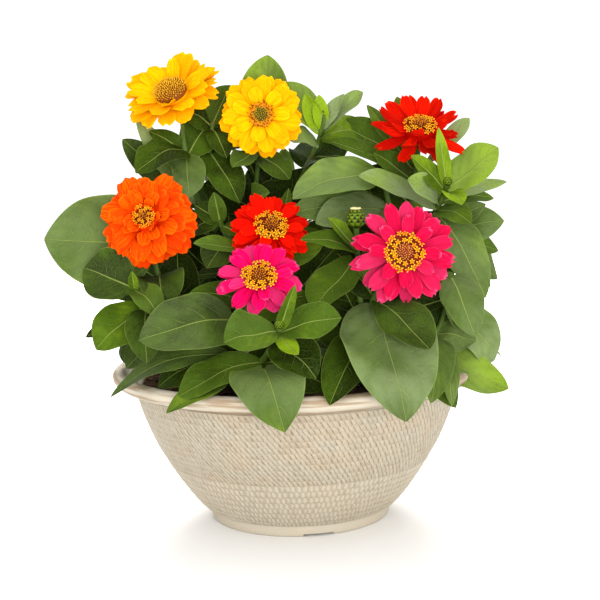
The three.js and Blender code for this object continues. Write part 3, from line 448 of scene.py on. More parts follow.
            ["middle", 4, [42, 122, 262], 28, 5, [165, 55], 0.5, 0.15, "young"],
            ["middle", 4, [-50, 120, 258], 28, 5, [195, 55], 0.5, 0.15, "young"],
            ["middle", 4, [-6, 78, 298], 16, 3, [180, 30], 0.5, 0.2, "bright"],
            ["right", 1, [86, 152, 120], 42, 14, [150, 55], 0.45, 0.1, "mid"],
            ["right", 2, [152, 96, 146], 44, 10, [125, 50], 0.45, 0.1, "green"],
            ["right", 3, [112, 150, 200], 42, 8, [150, 45], 0.45, 0.1, "grey"],
            ["right", 4, [142, 110, 258], 28, 5, [130, 50], 0.5, 0.15, "young"],
            ["right", 4, [78, 104, 268], 22, 4, [180, 45], 0.5, 0.2, "young"],
            ["left", 1, [-84, 154, 120], 42, 14, [210, 55], 0.45, 0.1, "mid"],
            ["left", 2, [-152, 96, 138], 44, 10, [235, 50], 0.45, 0.1, "dark"],
            ["left", 3, [-112, 148, 192], 42, 8, [210, 45], 0.45, 0.1, "grey"],
            ["left", 4, [-146, 98, 250], 28, 5, [230, 50], 0.5, 0.15, "young"],
            ["left", 4, [-78, 104, 260], 22, 4, [180, 45], 0.5, 0.2, "young"],
        ],
    },
}

# More leaves between those, all of one shape: branch, node, tip, width, bow, facing [turn, rise], shade
MORE_SHAPE = (0.5, 0.12)
MORE_LEAVES = {
    "orange_plant": [
        ["stem", 3, [-158, -30, 204], 40, 3, [-12, 20], "grey"],
        ["stem", 1, [-92, -22, 224], 34, 3, [0, 20], "deep"],
        ["stem", 1, [-132, -56, 134], 36, 6, [-20, 30], "dusk"],
    ],
    "yellow_plant": [
        ["top", 3, [44, -6, 341], 13, 1, [0, 50], "pale"],
        ["top", 3, [24, -5, 341], 13, 1, [0, 20], "bright"],
        ["top", 2, [49, 12, 300], 30, 3, [0, 45], "mid"],
        ["right", 2, [-72, 20, 272], 30, 3, [0, 20], "deep"],
        ["right", 1, [-70, 32, 238], 34, 3, [0, 20], "deep"],
        ["right", 2, [-6, 30, 290], 40, 3, [0, 10], "deep"],
        ["right", 2, [4, 22, 262], 34, 3, [0, 10], "deep"],
        ["left", 2, [-124, 14, 327], 20, 3, [-10, 20], "pale"],
        ["top", 1, [14, 22, 282], 32, 3, [0, 20], "deep"],
    ],
    "scarlet_plant": [["shoot", 3, [-82, -30, 237], 22, 3, [0, 35], "dark"]],
    "magenta_plant": [
        ["shoot", 1, [-86, -128, 125], 36, 6, [-20, 45], "mid"],
        ["stem", 1, [-104, -94, 126], 40, 8, [-15, 50], "dark"],
        ["shoot", 1, [28, -130, 126], 36, 8, [10, 40], "deep"],
    ],
    "pink_plant": [
        ["stem", 2, [34, -50, 219], 28, 3, [-5, 30], "deep"],
        ["low", 1, [118, -104, 106], 30, 9, [10, 30], "dim"],
        ["low", 2, [138, -70, 150], 30, 3, [15, 30], "grey"],
        ["low", 1, [126, -48, 172], 32, 4, [10, 10], "deep"],
        ["stem", 1, [34, -48, 200], 36, 4, [0, 20], "deep"],
        ["stem", 1, [40, -110, 134], 34, 8, [0, 45], "deep"],
        ["low", 1, [120, -96, 128], 34, 8, [20, 45], "dim"],
    ],
    "red_plant": [
        ["stem", 4, [38, 20, 319], 36, 4, [-5, 40], "mid"],
        ["stem", 3, [44, 6, 268], 36, 3, [-5, 10], "deep"],
        ["stem", 3, [62, 8, 282], 34, 3, [0, 10], "deep"],
        ["side", 2, [0, -50, 251], 36, 5, [-5, 40], "grey"],
        ["tip", 1, [154, -16, 251], 22, 4, [10, 30], "grey"],
        ["tip", 1, [158, -12, 184], 24, 4, [30, 30], "grey"],
        ["tip", 2, [162, -5, 255], 18, 4, [10, 50], "green"],
        ["tip", 1, [120, -30, 185], 30, 4, [10, 25], "green"],
        ["tip", 1, [166, 0, 212], 27, 5, [30, 30], "green"],
        ["side", 1, [118, -30, 152], 36, 5, [10, 30], "dim"],
        ["side", 1, [8, -18, 236], 36, 4, [0, 20], "dark"],
    ],
}


# Numbers, directions and lines

def draws(seed):
    """A source of numbers between 0 and 1, the same for the same seed."""
    state = seed

    def draw():
        nonlocal state
        state = (state * 16807) % 2147483647
        return state / 2147483647

    return draw


def aimed(turn, rise):
    """A direction from its turn, 0 to the front and 90 to the right, and its rise, in degrees."""
    a, e = math.radians(turn), math.radians(rise)
    return np.array([math.sin(a) * math.cos(e), -math.cos(a) * math.cos(e), math.sin(e)])


def outward(turn):
    """The direction away from a bloom's middle at a turn in radians, in the plane of its face."""
    return np.array([math.cos(turn), math.sin(turn), 0])


def unit(vector):
    return vector / np.linalg.norm(vector)


def turns(sides):
    """Even turns round a full circle, in radians."""
    return 2 * np.pi * np.arange(sides) / sides


def distances(line):
    """How far along a line each of its points is."""
    return np.append(0, np.cumsum(np.linalg.norm(np.diff(line, axis=0), axis=1)))


def smooth_line(points, step):
    """Points about one step apart on a rounded line through the given points."""
    points = np.asarray(points, float)
    points = np.concatenate([[2 * points[0] - points[1]], points, [2 * points[-1] - points[-2]]])
    line = []
    for a, b, c, d in zip(points, points[1:], points[2:], points[3:]):
        before, here, after = (max(np.linalg.norm(q - p), 1e-6) ** 0.5 for p, q in ((a, b), (b, c), (c, d)))
        out = ((b - a) / before - (c - a) / (before + here) + (c - b) / here) * here
        into = ((c - b) / here - (d - b) / (here + after) + (d - c) / after) * here
        count = max(2, int(np.linalg.norm(c - b) / step))
        t = (np.arange(count) / count)[:, None]
        bend = (3 * (c - b) - 2 * out - into) * t ** 2
        line.append(b + out * t + bend + (2 * (b - c) + out + into) * t ** 3)
    return np.concatenate([*line, points[-2:-1]])


# Meshes

class Skin:
    """The faces of one piece as they are made, with what its finishes read at each corner point.

    blade holds how far across a blade a point is, how far along it, and millimetres off its rib.
    look holds a shade, a greyness for painted sheen and a draw. under is 1 on a blade's lower side.
    """

    def __init__(self, finishes):
        self.finishes = finishes
        self.points, self.faces, self.which = [], [], []
        self.blade, self.look, self.under = [], [], []
        self.count = 0

    def add(self, points, faces, finish=0, blade=None, look=(0.5, 0, 0.5), under=None):
        size = len(points)
        self.points.append(np.asarray(points, float))
        for block in faces:
            self.faces.extend((np.asarray(block) + self.count).tolist())
            self.which.extend([finish] * len(block))
        self.blade.append(np.zeros((size, 3)) if blade is None else blade)
        self.look.append(np.broadcast_to(look, (size, 3)))
        self.under.append(np.zeros(size) if under is None else under)
        self.count += size

    def piece(self, name, slot, nodes):
        """Makes the finished object, in metres, riding on the frame in place of its CAD nodes."""
        mesh = bpy.data.meshes.new(name)
        mesh.from_pydata((np.concatenate(self.points) * MM).tolist(), [], self.faces)
        for title, kind, field, values in (
            ("blade", "FLOAT_VECTOR", "vector", self.blade), ("look", "FLOAT_VECTOR", "vector", self.look),
            ("under", "FLOAT", "value", self.under),
        ):
            values = np.concatenate(values).astype(np.float32).ravel()
            mesh.attributes.new(title, kind, "POINT").data.foreach_set(field, values)
        for finish in self.finishes:
            mesh.materials.append(finish)
        mesh.polygons.foreach_set("material_index", self.which)
        mesh.shade_smooth()
        mesh.set_sharp_from_angle(angle=math.radians(SHARP))
        mesh.update()
        piece = bpy.data.objects.new(name, mesh)
        bpy.context.scene.collection.objects.link(piece)
        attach(piece, "root")
        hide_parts(*nodes)


def grid_faces(rows, cols, closed):
    """Quads over rows of cols points each; closed joins the last column to the first."""
    i, j = np.meshgrid(np.arange(rows - 1), np.arange(cols if closed else cols - 1), indexing="ij")
    k = (j + 1) % cols
    return np.stack([i * cols + j, i * cols + k, (i + 1) * cols + k, (i + 1) * cols + j], -1).reshape(-1, 4)


def fan_faces(hub, ring, flip):
    """Triangles from a hub point to each side of a closed ring of points."""
    after = np.roll(ring, -1)
    pair = (after, ring) if flip else (ring, after)
    return np.stack([np.full(len(ring), hub), *pair], -1)


def tube_faces(rings, sides):
    """The faces of closed rings of points that are followed by a hub point for each end."""
    last = rings * sides
    return [
        grid_faces(rings, sides, True),
        fan_faces(last, np.arange(sides), True),
        fan_faces(last + 1, np.arange(last - sides, last), False),
    ]


def end_faces(cols, first, flip):
    """Faces straight across the end of a blade, from its upper points to its lower ones."""
    i = np.arange(1, cols - 1)
    quads = np.stack([i, i + 1, 2 * cols - i - 1, 2 * cols - i], -1)
    corners = np.array([[0, 1, 2 * cols - 1], [cols - 1, cols, cols + 1]])
    return [block[:, ::-1] + first if flip else block + first for block in (quads, corners)]


def turned(skin, line, sides, finish=0, look=(0.5, 0, 0.5), move=None):
    """A turned body from a line of [radius, height] whose ends lie on the axis."""
    inner = np.array(line[1:-1], float)
    ring = np.stack([np.cos(turns(sides)), np.sin(turns(sides))], -1)
    body = np.concatenate([inner[:, None, :1] * ring, np.repeat(inner[:, None, 1:], sides, 1)], -1)
    points = np.concatenate([body.reshape(-1, 3), [[0, 0, line[0][1]], [0, 0, line[-1][1]]]])
    if move is not None:
        points = move(points)
    skin.add(points, tube_faces(len(inner), sides), finish, None, look)


def tube(skin, line, radii, sides, finish, look, move=None, along_to=1):
    """A round stem along a line of points. along_to is how far along a blade its end counts as."""
    line = np.asarray(line, float)
    ahead = np.gradient(line, axis=0)
    ahead /= np.linalg.norm(ahead, axis=1)[:, None]
    across = unit(np.cross(ahead[0], [0.3, 1, 0.2]))
    turn = turns(sides)
    rings = []
    for place, direction, radius in zip(line, ahead, radii):
        across = unit(across - direction * (across @ direction))
        other = np.cross(direction, across)
        rings.append(place + radius * (np.cos(turn)[:, None] * across + np.sin(turn)[:, None] * other))
    points = np.concatenate([*rings, line[:1], line[-1:]])
    if move is not None:
        points = move(points)
    around = np.append(np.tile(turn / np.pi - 1, len(line)), [0, 0])
    along = np.append(np.repeat(np.linspace(0, along_to, len(line)), sides), [0, along_to])
    skin.add(points, tube_faces(len(line), sides), finish, np.stack([around, along, 0 * along], -1), look)


# Blades: leaves, petals, scales and the lobes of florets

def leaf_outline(t, belly):
    """Half a leaf's width at t, from 0 at the root to 1 at the tip, as a share of the widest."""
    s = np.clip(t, 0.004, 0.998) ** (math.log(0.5) / math.log(belly))
    return (4 * s * (1 - s)) ** (0.55 + 0.2 * s)


def petal_outline(t, claw, tip):
    """Half a petal's width at t, from its narrow claw to its blunt tip."""
    widest = 0.68
    past = np.maximum(t - widest, 0) / (1 - widest)
    rising = claw + (1 - claw) * np.sin(np.pi / 2 * np.minimum(t / widest, 1))
    return rising * np.sqrt(1 - past ** 2 * (1 - tip ** 2))


def blade(skin, root, tip, facing, bow, width, outline, rows, cols, thick, finish, look,
          relief=None, trim=None, move=None):
    """A thin closed blade on a bowed line from root to tip, its upper side toward facing.

    relief gives millimetres off its middle skin and trim shortens it, for each t along and u across.
    """
    root, tip = np.asarray(root, float), np.asarray(tip, float)
    along = tip - root
    up = unit(facing - along * (facing @ along) / (along @ along))
    side = unit(np.cross(along, up))
    middle = (root + tip) / 2 + 2 * bow * up
    # Points crowd toward both edges of the blade, round its upper side and back along the lower one
    u = np.sin(np.linspace(-1, 1, cols + 1) * np.pi / 2 * CROWDING) / math.sin(np.pi / 2 * CROWDING)
    across = np.concatenate([u, u[-2:0:-1]])
    face = np.concatenate([np.ones(cols + 1), -np.ones(cols - 1)])
    t, across = np.meshgrid(rows, across, indexing="ij")
    face = np.broadcast_to(face, t.shape)
    half = width / 2 * outline(t)
    reach = (t if trim is None else trim(t, across))[..., None]
    thin = np.sqrt(np.clip(1 - (2 * t - 1) ** 8, 0.01, 1))
    off = face * thick / 2 * thin * np.sqrt(np.maximum(1 - across ** 4, 0))
    if relief is not None:
        off = off + relief(t, across, half, face)
    points = (1 - reach) ** 2 * root + 2 * reach * (1 - reach) * middle + reach ** 2 * tip
    points = points + side * (across * half)[..., None] + up * off[..., None]
    points = points.reshape(-1, 3)
    if move is not None:
        points = move(points)
    values = np.stack([across, t, across * half], -1).reshape(-1, 3)
    under = np.where(np.abs(across) > 0.999, 0.5, (1 - face) / 2).ravel()
    loop = t.shape[1]
    faces = [grid_faces(len(rows), loop, True)[:, ::-1], *end_faces(cols, 0, False),
             *end_faces(cols, (len(rows) - 1) * loop, True)]
    skin.add(points, faces, finish, values, look, under)


def leaf(skin, root, tip, width, bow, facing, belly, cup, phase, look):
    """A leaf folded along its sunk rib, softly raised between its side veins, with waved edges."""
    length = np.linalg.norm(np.asarray(tip, float) - root)
    big = min(1, width / 45)
    veins = 3 + round(length / 26)

    def relief(t, u, half, face):
        side = np.abs(u)
        wave = 0.11 * np.sin(7 * t + 2.2 * np.sign(u) + phase) + 0.06 * np.sin(15 * t + 3 * u + 2 * phase)
        fold = (cup * side ** 1.3 + (0.08 + wave) * u * u) * half
        rib = np.exp(-(u * half / 1.3) ** 2) * np.clip(1.15 - t, 0, 1)
        sunk = -np.where(face > 0, 0.55, 1.0) * big * rib
        vein = (t - 0.2 * side - 0.16 * u * u) * veins + 0.25 * np.sign(u)
        cushion = 0.5 * big * (np.abs(np.sin(np.pi * vein)) - 0.6) * np.sqrt(side * (1 - side) * 4)
        swell = 0.13 * half * np.sin(5.3 * t + 1.3 * phase + 1.5 * u) * np.sin(np.pi * t)
        return fold + sunk + cushion + swell

    fine = 30 if length > 70 else 24 if length > 40 else 16
    cols = 16 if width > 40 else 12 if width > 20 else 8
    rows = 0.5 - 0.5 * np.cos(np.linspace(0.06, 1, fine) * np.pi)
    blade(skin, root, tip, facing, bow, width, lambda t: np.maximum(leaf_outline(t, belly), 0.035),
          rows, cols, LEAF_THICKNESS, LEAF, look, relief)


# Finishes

class Value:
    """A number or colour that varies over a finish. Arithmetic on it adds nodes."""

    def __init__(self, finish, socket):
        self.finish, self.socket = finish, socket

    def math(self, operation, *others):
        return self.finish.node("ShaderNodeMath", dict(enumerate((self, *others))), operation=operation)

    def __add__(self, other):
        return self.math("ADD", other)

    def __sub__(self, other):
        return self.math("SUBTRACT", other)

    def __mul__(self, other):
        return self.math("MULTIPLY", other)

    def __truediv__(self, other):
        return self.math("DIVIDE", other)

    def __abs__(self):
        return self.math("ABSOLUTE")

    def span(self, low, high, start=0, end=1):
        """Its way from low to high, smoothed, between start and end."""
        inputs = {"Value": self, "From Min": low, "From Max": high, "To Min": start, "To Max": end}
        return self.finish.node("ShaderNodeMapRange", inputs, "Result", interpolation_type="SMOOTHSTEP")


class Finish:
    """A node material in the making, painted in layers from its first colour up."""

    def __init__(self, name, roughness, specular, colour):
        self.material = bpy.data.materials.new(name)
        self.material.use_nodes = True
        self.tree = self.material.node_tree
        self.shader = self.tree.nodes["Principled BSDF"].inputs
        self.shader["Roughness"].default_value = roughness
        self.shader["Specular IOR Level"].default_value = specular
        self.colour, self.normal = colour, None

    def node(self, kind, inputs, output=0, **settings):
        """Adds a node and gives what comes out of it."""
        made = self.tree.nodes.new(kind)
        for key, value in settings.items():
            setattr(made, key, value)
        for key, value in inputs.items():
            if isinstance(value, Value):
                self.tree.links.new(value.socket, made.inputs[key])
            else:
                made.inputs[key].default_value = value
        return Value(self, made.outputs[output])

    def read(self, name):
        """The three numbers that the mesh holds under a name."""
        vector = self.node("ShaderNodeAttribute", {}, "Vector", attribute_name=name)
        return [self.node("ShaderNodeSeparateXYZ", {0: vector}, axis) for axis in range(3)]

    def under(self):
        """1 on a blade's lower side, and 0 on its upper one."""
        return self.node("ShaderNodeAttribute", {}, "Fac", attribute_name="under")

    def place(self, stretch=(1, 1, 1)):
        """Where on the object, stretched along its axes."""
        here = self.node("ShaderNodeTexCoord", {}, "Object")
        return self.node("ShaderNodeMapping", {"Vector": here, "Scale": stretch})

    def cloud(self, scale, detail=3, stretch=(1, 1, 1), vector=None):
        """Soft noise between 0 and 1."""
        inputs = {"Vector": vector or self.place(stretch), "Scale": scale, "Detail": detail}
        return self.node("ShaderNodeTexNoise", inputs, "Fac")

    def paint(self, share, colour):
        """Lays a colour over those below it, as strongly as share says."""
        below, above = (c if isinstance(c, Value) else (*c[:3], 1) for c in (self.colour, colour))
        self.colour = self.node("ShaderNodeMix", {0: share, 6: below, 7: above}, 2, data_type="RGBA")

    def bump(self, height, strength, distance):
        """Adds a bump over those before it."""
        inputs = {"Height": height, "Strength": strength, "Distance": distance}
        if self.normal is not None:
            inputs["Normal"] = self.normal
        self.normal = self.node("ShaderNodeBump", inputs)

    def done(self, roughness=None):
        """The material, with its colours, bumps and any varied roughness joined to the shader."""
        for title, value in (("Base Color", self.colour), ("Roughness", roughness), ("Normal", self.normal)):
            if value is not None:
                self.tree.links.new(value.socket, self.shader[title])
        return self.material


def leaf_finish(looks):
    """Leaf green with a pale rib, curved side veins, mottling, a paler underside, painted sheen and highlights.
    """
    f = Finish("zinnia_leaf", 0.5, 0.04, looks.leaf_dark)
    across, along, off = f.read("blade")
    shade, grey, draw = f.read("look")
    patch, fine = f.cloud(34), f.cloud(420)
    side, which = abs(across), across.math("SIGN")

    # The side veins sweep toward the tip, wander, and don't meet at the rib
    vein = (along - side * 0.2 - side * side * 0.16) * 5.3 + which * 0.25 + (f.cloud(50) - 0.5) * 0.9
    nearest = abs(vein.math("FRACT") - 0.5)
    # Painted highlight: the cushions between the veins are lighter and greyer
    swell = nearest.span(0.5, 0.1, -0.5, 0.5) * side.span(0.05, 0.3)
    # One half of each leaf is lighter than the other by a random amount, painted light on one side of its fold
    tone = shade + (patch - 0.5) * 0.8 + (draw - 0.5) * (which * 0.12 + 0.16) + swell * 0.05
    f.paint(tone.span(0, 0.5), looks.leaf_mid)
    f.paint(tone.span(0.45, 1), looks.leaf_young)
    # Painted sheen: grey over the green as far as the leaf's greyness goes, more on the cushions and in soft
    # clouds
    f.paint(grey * (swell * 0.12 + f.cloud(26).span(0.35, 0.62, 0.45, 1.05)), looks.leaf_painted_sheen)

    veins = nearest.span(0.455, 0.5) * side.span(0.9, 0.2) * f.cloud(90, 2).span(0.42, 0.6, 0.15, 1)
    rib = (abs(off) / (along * -0.8 + 1.05)).span(1, 0.35)
    net = f.node("ShaderNodeTexVoronoi", {"Vector": f.place(), "Scale": 330.0}, "Distance",
                 feature="DISTANCE_TO_EDGE").span(0.12, 0)
    f.paint(net * 0.06, looks.leaf_vein)
    f.paint(fine.span(0.55, 0.75, 0, 0.2), looks.leaf_dark)
    f.paint(veins * 0.35, looks.leaf_vein)
    f.paint(rib * 0.65, looks.leaf_vein)
    f.paint(side.span(0.95, 0.995, 0, 0.3), looks.leaf_vein)
    f.paint(f.under().span(0.4, 0.8, 0, 0.6), looks.leaf_pale)
    f.bump(veins * -0.5 + rib * -0.9, 0.7, 0.0008)
    f.bump(net * -0.5 + fine, 0.4, 0.0003)
    return f.done(patch.span(0.3, 0.7, 0.44, 0.62))


def stem_finish(looks):
    """Stem green, drawn out along the stem and redder in places, with fine bristly bumps."""
    f = Finish("zinnia_stem", 0.55, 0.35, looks.stem)
    f.paint(f.cloud(160, 3, (1, 1, 0.12)).span(0.35, 0.65), looks.leaf_mid)
    f.paint(f.cloud(30, 2).span(0.6, 0.8, 0, 0.5), STEM_BLUSH)
    f.bump(f.cloud(1400, 2), 0.5, 0.0003)
    return f.done()


def scale_finish(looks):
    """The overlapping green scales of a calyx or bud, each with a dark papery edge."""
    f = Finish("zinnia_scale", 0.5, 0.15, looks.leaf_mid)
    across, along, _ = f.read("blade")
    f.paint(f.cloud(260).span(0.35, 0.7), looks.leaf_dark)
    f.paint(along.span(0.25, 0.7, 0, 0.55), looks.leaf_young)
    edge = abs(across).span(0.5, 0.85).math("MAXIMUM", along.span(0.76, 0.9))
    f.paint(edge * along.span(0.25, 0.5), SCALE_EDGE)
    f.bump(f.cloud(900, 2, (1, 1, 0.3)), 0.4, 0.0002)
    return f.done()


def petal_finish(name, body, deep, rim, reverse, low_tier_colour, rim_share):
    """A petal with fine lines along it, a deeper claw partly in painted shade, a lighter rim, its own reverse
    and lower tiers.
    """
    f = Finish(name, 0.6, 0.01, body)
    f.shader["Subsurface Weight"].default_value = 0.08
    f.shader["Subsurface Radius"].default_value = (1, 0.6, 0.3)
    f.shader["Subsurface Scale"].default_value = MM
    across, along, _ = f.read("blade")
    tier, _, draw = f.read("look")
    grain = f.node("ShaderNodeCombineXYZ", {
        0: (f.cloud(90, 2) * 0.5 + across) * 9, 1: along * 1.4, 2: draw * 50})
    lines = f.cloud(1, vector=grain)
    f.paint(draw.span(0.55, 1, 0, 0.3), rim)
    f.paint(lines.span(0.4, 0.62, 0, 0.85), deep)
    # Deeper toward the claw: partly the petal's own colour, partly painted shade where petals crowd at the disc
    f.paint(along.span(0.55, 0, 0, 0.7), deep)
    # Lower tiers take the low tier colour: paler where magenta and pink fade, deep as painted shade in the
    # other blooms
    f.paint((tier * -0.6 + draw).span(0, 0.7, 0, 0.8), low_tier_colour)
    edge = abs(across).span(0.78, 1, 0, 0.7).math("MAXIMUM", along.span(0.88, 1))
    edge = edge * along.span(0.45, 0.95) * f.cloud(120, 2).span(0.4, 0.6)
    f.paint(edge * rim_share, rim)
    f.paint(f.under().span(0.45, 0.8, 0, 0.75), reverse)
    f.bump(lines, 0.6, 0.0008)
    f.bump(f.cloud(1500, 2), 0.15, 0.0001)
    return f.done(lines.span(0.3, 0.7, 0.5, 0.66))


def floret_finish(name, foot, body, tip):
    """Florets and the points of a cone: deep at the foot, their own colour, and lighter tips."""
    f = Finish(name, 0.55, 0.08, foot)
    along, draw = f.read("blade")[1], f.read("look")[2]
    f.paint(along.span(0.15, 0.6), body)
    f.paint((draw * 0.4 + along).span(0.75, 1.15), tip)
    f.paint(f.cloud(900, 2).span(0.5, 0.75, 0, 0.3), foot)
    f.bump(f.cloud(2200, 2), 0.5, 0.0002)
    return f.done()


def pot_finish(looks):
    """Moulded sand-coloured resin, cloudy, with a streaked rim, and painted shade and highlights on the weave.
    """
    f = Finish("pot_sand_resin", 0.6, 0.12, looks.resin)
    proud, kind, tone = f.read("blade")
    wall, band, coarse = kind.span(0.6, 0.4), kind.span(0.6, 0.9), kind.span(0.05, COARSE, 0, 0.36)
    speck, streak = f.cloud(900), f.cloud(120, 4, (0.12, 0.12, 2.2))
    f.paint(f.cloud(26, 4).span(0.4, 0.62), looks.resin_warm)
    f.paint(f.cloud(34, 3, (1, 1, 1.6)).span(0.5, 0.66, 0, 0.8), looks.resin_cool)
    f.paint(speck.span(0.5, 0.7, 0, 0.3), looks.resin_groove)
    # Painted shade: darker where a point lies deep in the grooves of the weave and in the neck under the rim
    f.paint((speck - 0.5 + proud).span(0.5, 0.1) * kind.span(FINE, COARSE, 0.95, 0.9), looks.resin_groove)
    # Painted highlights on the stitch tops, broken up by a cloud
    highlight_fleck = f.cloud(700) * 1.5 + tone * 0.6 + proud * 0.8
    f.paint(highlight_fleck.span(1.65, 2.3, 0, 0.45) * wall, looks.resin_light)
    # All but the fine rows are lighter; on the coarse rows low on the bowl this is painted light
    f.paint(coarse, looks.resin_light)
    # Painted shadow low on each stitch, varied by its draw
    f.paint(tone.span(0.5, 0, 0, 0.3) * wall, looks.resin_groove)
    f.paint(band * streak.span(0.42, 0.7, 0, 0.7), looks.resin_light)
    f.paint(band * streak.span(0.54, 0.38, 0, 0.85), looks.resin_streak)
    f.bump(speck, 0.35, 0.0004)
    f.bump(streak * band, 0.25, 0.0006)
    return f.done(f.cloud(90).span(0.3, 0.7, 0.52, 0.7))


def soil_finish(looks):
    """Damp peaty soil with lighter crumbs and a few pale grains."""
    f = Finish("potting_soil", 0.92, 0.05, looks.soil)
    f.paint(f.cloud(180, 5).span(0.35, 0.68), looks.soil_crumb)
    f.paint(f.read("look")[2].span(0.93, 1, 0, 0.7), PALE_GRAIN)
    f.bump(f.cloud(500, 5), 0.8, 0.0012)
    f.bump(f.cloud(2600), 0.5, 0.0003)
    return f.done()


def floor_finish(looks):
    """Matt paper, very slightly cloudy."""
    f = Finish("floor_paper", 0.9, 0.1, looks.floor)
    f.paint(f.cloud(3, 2).span(0.3, 0.7, 0, 0.5), FLOOR_CLOUD)
    return f.done()


# Pot

def pot_wall(line, depth, rows, stitches, lean, slant, ledge, point, fade):
    """The wall along a line in rows of hooked stitches.

    Gives its points row by row, how far each stands out of the grooves, and a tone from a draw and the height
    in its row.
    lean is how far a stitch ends from the one under it and slant how much of that it leans itself.
    ledge is how deep the grooves between the rows are as a share of those between stitches,
    point is how narrow a stitch gets to its top, and fade how far the grooves between the
    stitches run out at the ends of their row.
    """
    way = distances(line)
    share = np.append((np.arange(rows)[:, None] + STITCH_RINGS).ravel(), rows)
    radius, height = (np.interp(share / rows * way[-1], way, line[:, k]) for k in range(2))
    slope = np.stack([np.gradient(radius), np.gradient(height)], -1)
    slope /= np.linalg.norm(slope, axis=1)[:, None]
    column = np.arange(stitches * STITCH_POINTS) / STITCH_POINTS
    hook = np.interp(share % 1, [0, STITCH_RINGS[-1], 1], [0, lean * slant, lean]) + np.floor(share) * lean
    drawn = np.random.default_rng(rows).random((2, rows + 1, stitches))
    drawn = drawn[:, np.floor(share).astype(int)][:, :, np.floor(column).astype(int)]
    turn = 2 * np.pi * (column - hook[:, None] + 0.3 * (drawn[1] - 0.5)) / stitches
    up = (share % 1)[:, None]
    row = np.interp(up, [0, 0.3, 0.75, 0.9, 1], [0, 0.7, 1, 0.6, 0])
    cell = np.abs(np.sin(np.pi * column)) ** (0.3 + point * up ** 1.4)
    cell = 1 - (1 - cell) * (1 - fade + fade * np.sin(np.pi * up) ** 0.6)
    tilt = 0.82 + 0.18 * np.cos(2 * np.pi * (column - 0.2))
    proud = (1 - ledge + ledge * row) * (0.1 + 0.9 * cell * tilt)
    # The tone rises up each stitch, so the finish paints shadow low on it and highlights at its top
    tone = 0.5 * drawn[0] + 0.5 * up
    out = depth * proud * (0.8 + 0.4 * tone)
    r = radius[:, None] + out * slope[:, 1:]
    z = height[:, None] - out * slope[:, :1]
    return np.stack([r * np.sin(turn), -r * np.cos(turn), z], -1), proud, tone


def ring_rows(line, sides):
    """Plain rings of points for each [radius, height] of a line."""
    line = np.asarray(line, float)
    r, z = line[:, :1], line[:, 1:]
    return np.stack([r * np.sin(turns(sides)), -r * np.cos(turns(sides)),
                     np.broadcast_to(z, (len(line), sides))], -1)


def stack(skin, blocks, hub=None):
    """Rows of points joined into one skin from the first row to the last, closed at a hub if given.

    A block holds rows of points, how far they stand out, their tone and what kind they are.
    """
    rows = np.concatenate([block[0] for block in blocks])
    values = np.concatenate([
        np.stack([np.broadcast_to(block[k], block[0].shape[:2]) for k in (1, 3, 2)], -1) for block in blocks])
    count, sides = rows.shape[:2]
    points, values = rows.reshape(-1, 3), values.reshape(-1, 3)
    faces = [grid_faces(count, sides, True)]
    if hub is not None:
        points = np.concatenate([points, [hub]])
        values = np.concatenate([values, [[0.8, COARSE, 0.5]]])
        faces.append(fan_faces(count * sides, np.arange((count - 1) * sides, count * sides), False))
    skin.add(points, faces, 0, values)


def cut_wall(line, height):
    """The part of a line up to a height, and the part from there on."""
    cut = [[np.interp(height, line[:, 1], line[:, 0]), height]]
    return (np.concatenate([line[line[:, 1] < height], cut]),
            np.concatenate([cut, line[line[:, 1] > height]]))


def rounded(line, step):
    """A line of [radius, height] with its corners rounded."""
    return smooth_line([[r, 0, z] for r, z in line], step)[:, ::2]


# Looks that a user would change

def colour(name, description, default):
    return FloatVectorProperty(name=name, description=description, default=default, subtype="COLOR",
                               size=3, min=0, max=1)


class ZinniaPotLooks(bpy.types.PropertyGroup):
    stitches: IntProperty(name="Stitches", description="Stitches in one fine row round the wall",
                          default=186, min=40, max=190)
    stitch_depth: FloatProperty(name="Stitch depth", description="Depth of the weave's grooves",
                                default=0.0008, min=0, max=0.003, subtype="DISTANCE", unit="LENGTH")
    stitch_lean: FloatProperty(name="Lean", description="How far a stitch leans over in one row, in stitches",
                               default=0.86, min=-2, max=2, subtype="FACTOR")
    resin: colour("Resin", "Main colour of the resin", (0.405, 0.355, 0.272))
    resin_warm: colour("Warm patches", "Warmer cloudy patches", (0.42, 0.35, 0.258))
    resin_cool: colour("Cool patches", "Greyer cloudy patches", (0.405, 0.365, 0.287))
    # Painted highlights on the stitch tops, painted light on the coarse rows, and the rim's light streaks
    resin_light: colour("Painted highlights and streaks", "Light colour on the ridges and the rim", (0.62, 0.56, 0.45))
    # Dark specks, and painted shade in the grooves and low on each stitch
    resin_groove: colour("Grooves", "Colour in the grooves of the weave", (0.2, 0.153, 0.095))
    resin_streak: colour("Rim streaks", "Brown streaks on the rim", (0.29, 0.2, 0.12))
    soil: colour("Soil", "Colour of damp soil", (0.022, 0.012, 0.006))
    soil_crumb: colour("Crumbs", "Colour of drier crumbs", (0.075, 0.042, 0.02))


class ZinniaGreenLooks(bpy.types.PropertyGroup):
    # The darkest green: old leaves' own colour, and painted shade for leaves deep inside the plant
    leaf_dark: colour("Dark leaf", "Old leaves, and painted shade deep in the plant", (0.01, 0.02, 0.0007))
    leaf_mid: colour("Leaf", "Most leaves", (0.049, 0.094, 0.004))
    leaf_young: colour("Young leaf", "Young leaves round the buds", (0.22, 0.34, 0.009))
    leaf_painted_sheen: colour("Leaf sheen", "Painted grey sheen of broad leaves", (0.2, 0.26, 0.11))
    leaf_pale: colour("Underside", "Underside of a leaf", (0.15, 0.22, 0.07))
    leaf_vein: colour("Veins", "Rib and side veins", (0.27, 0.34, 0.075))
    stem: colour("Stem", "Stems", (0.08, 0.14, 0.015))


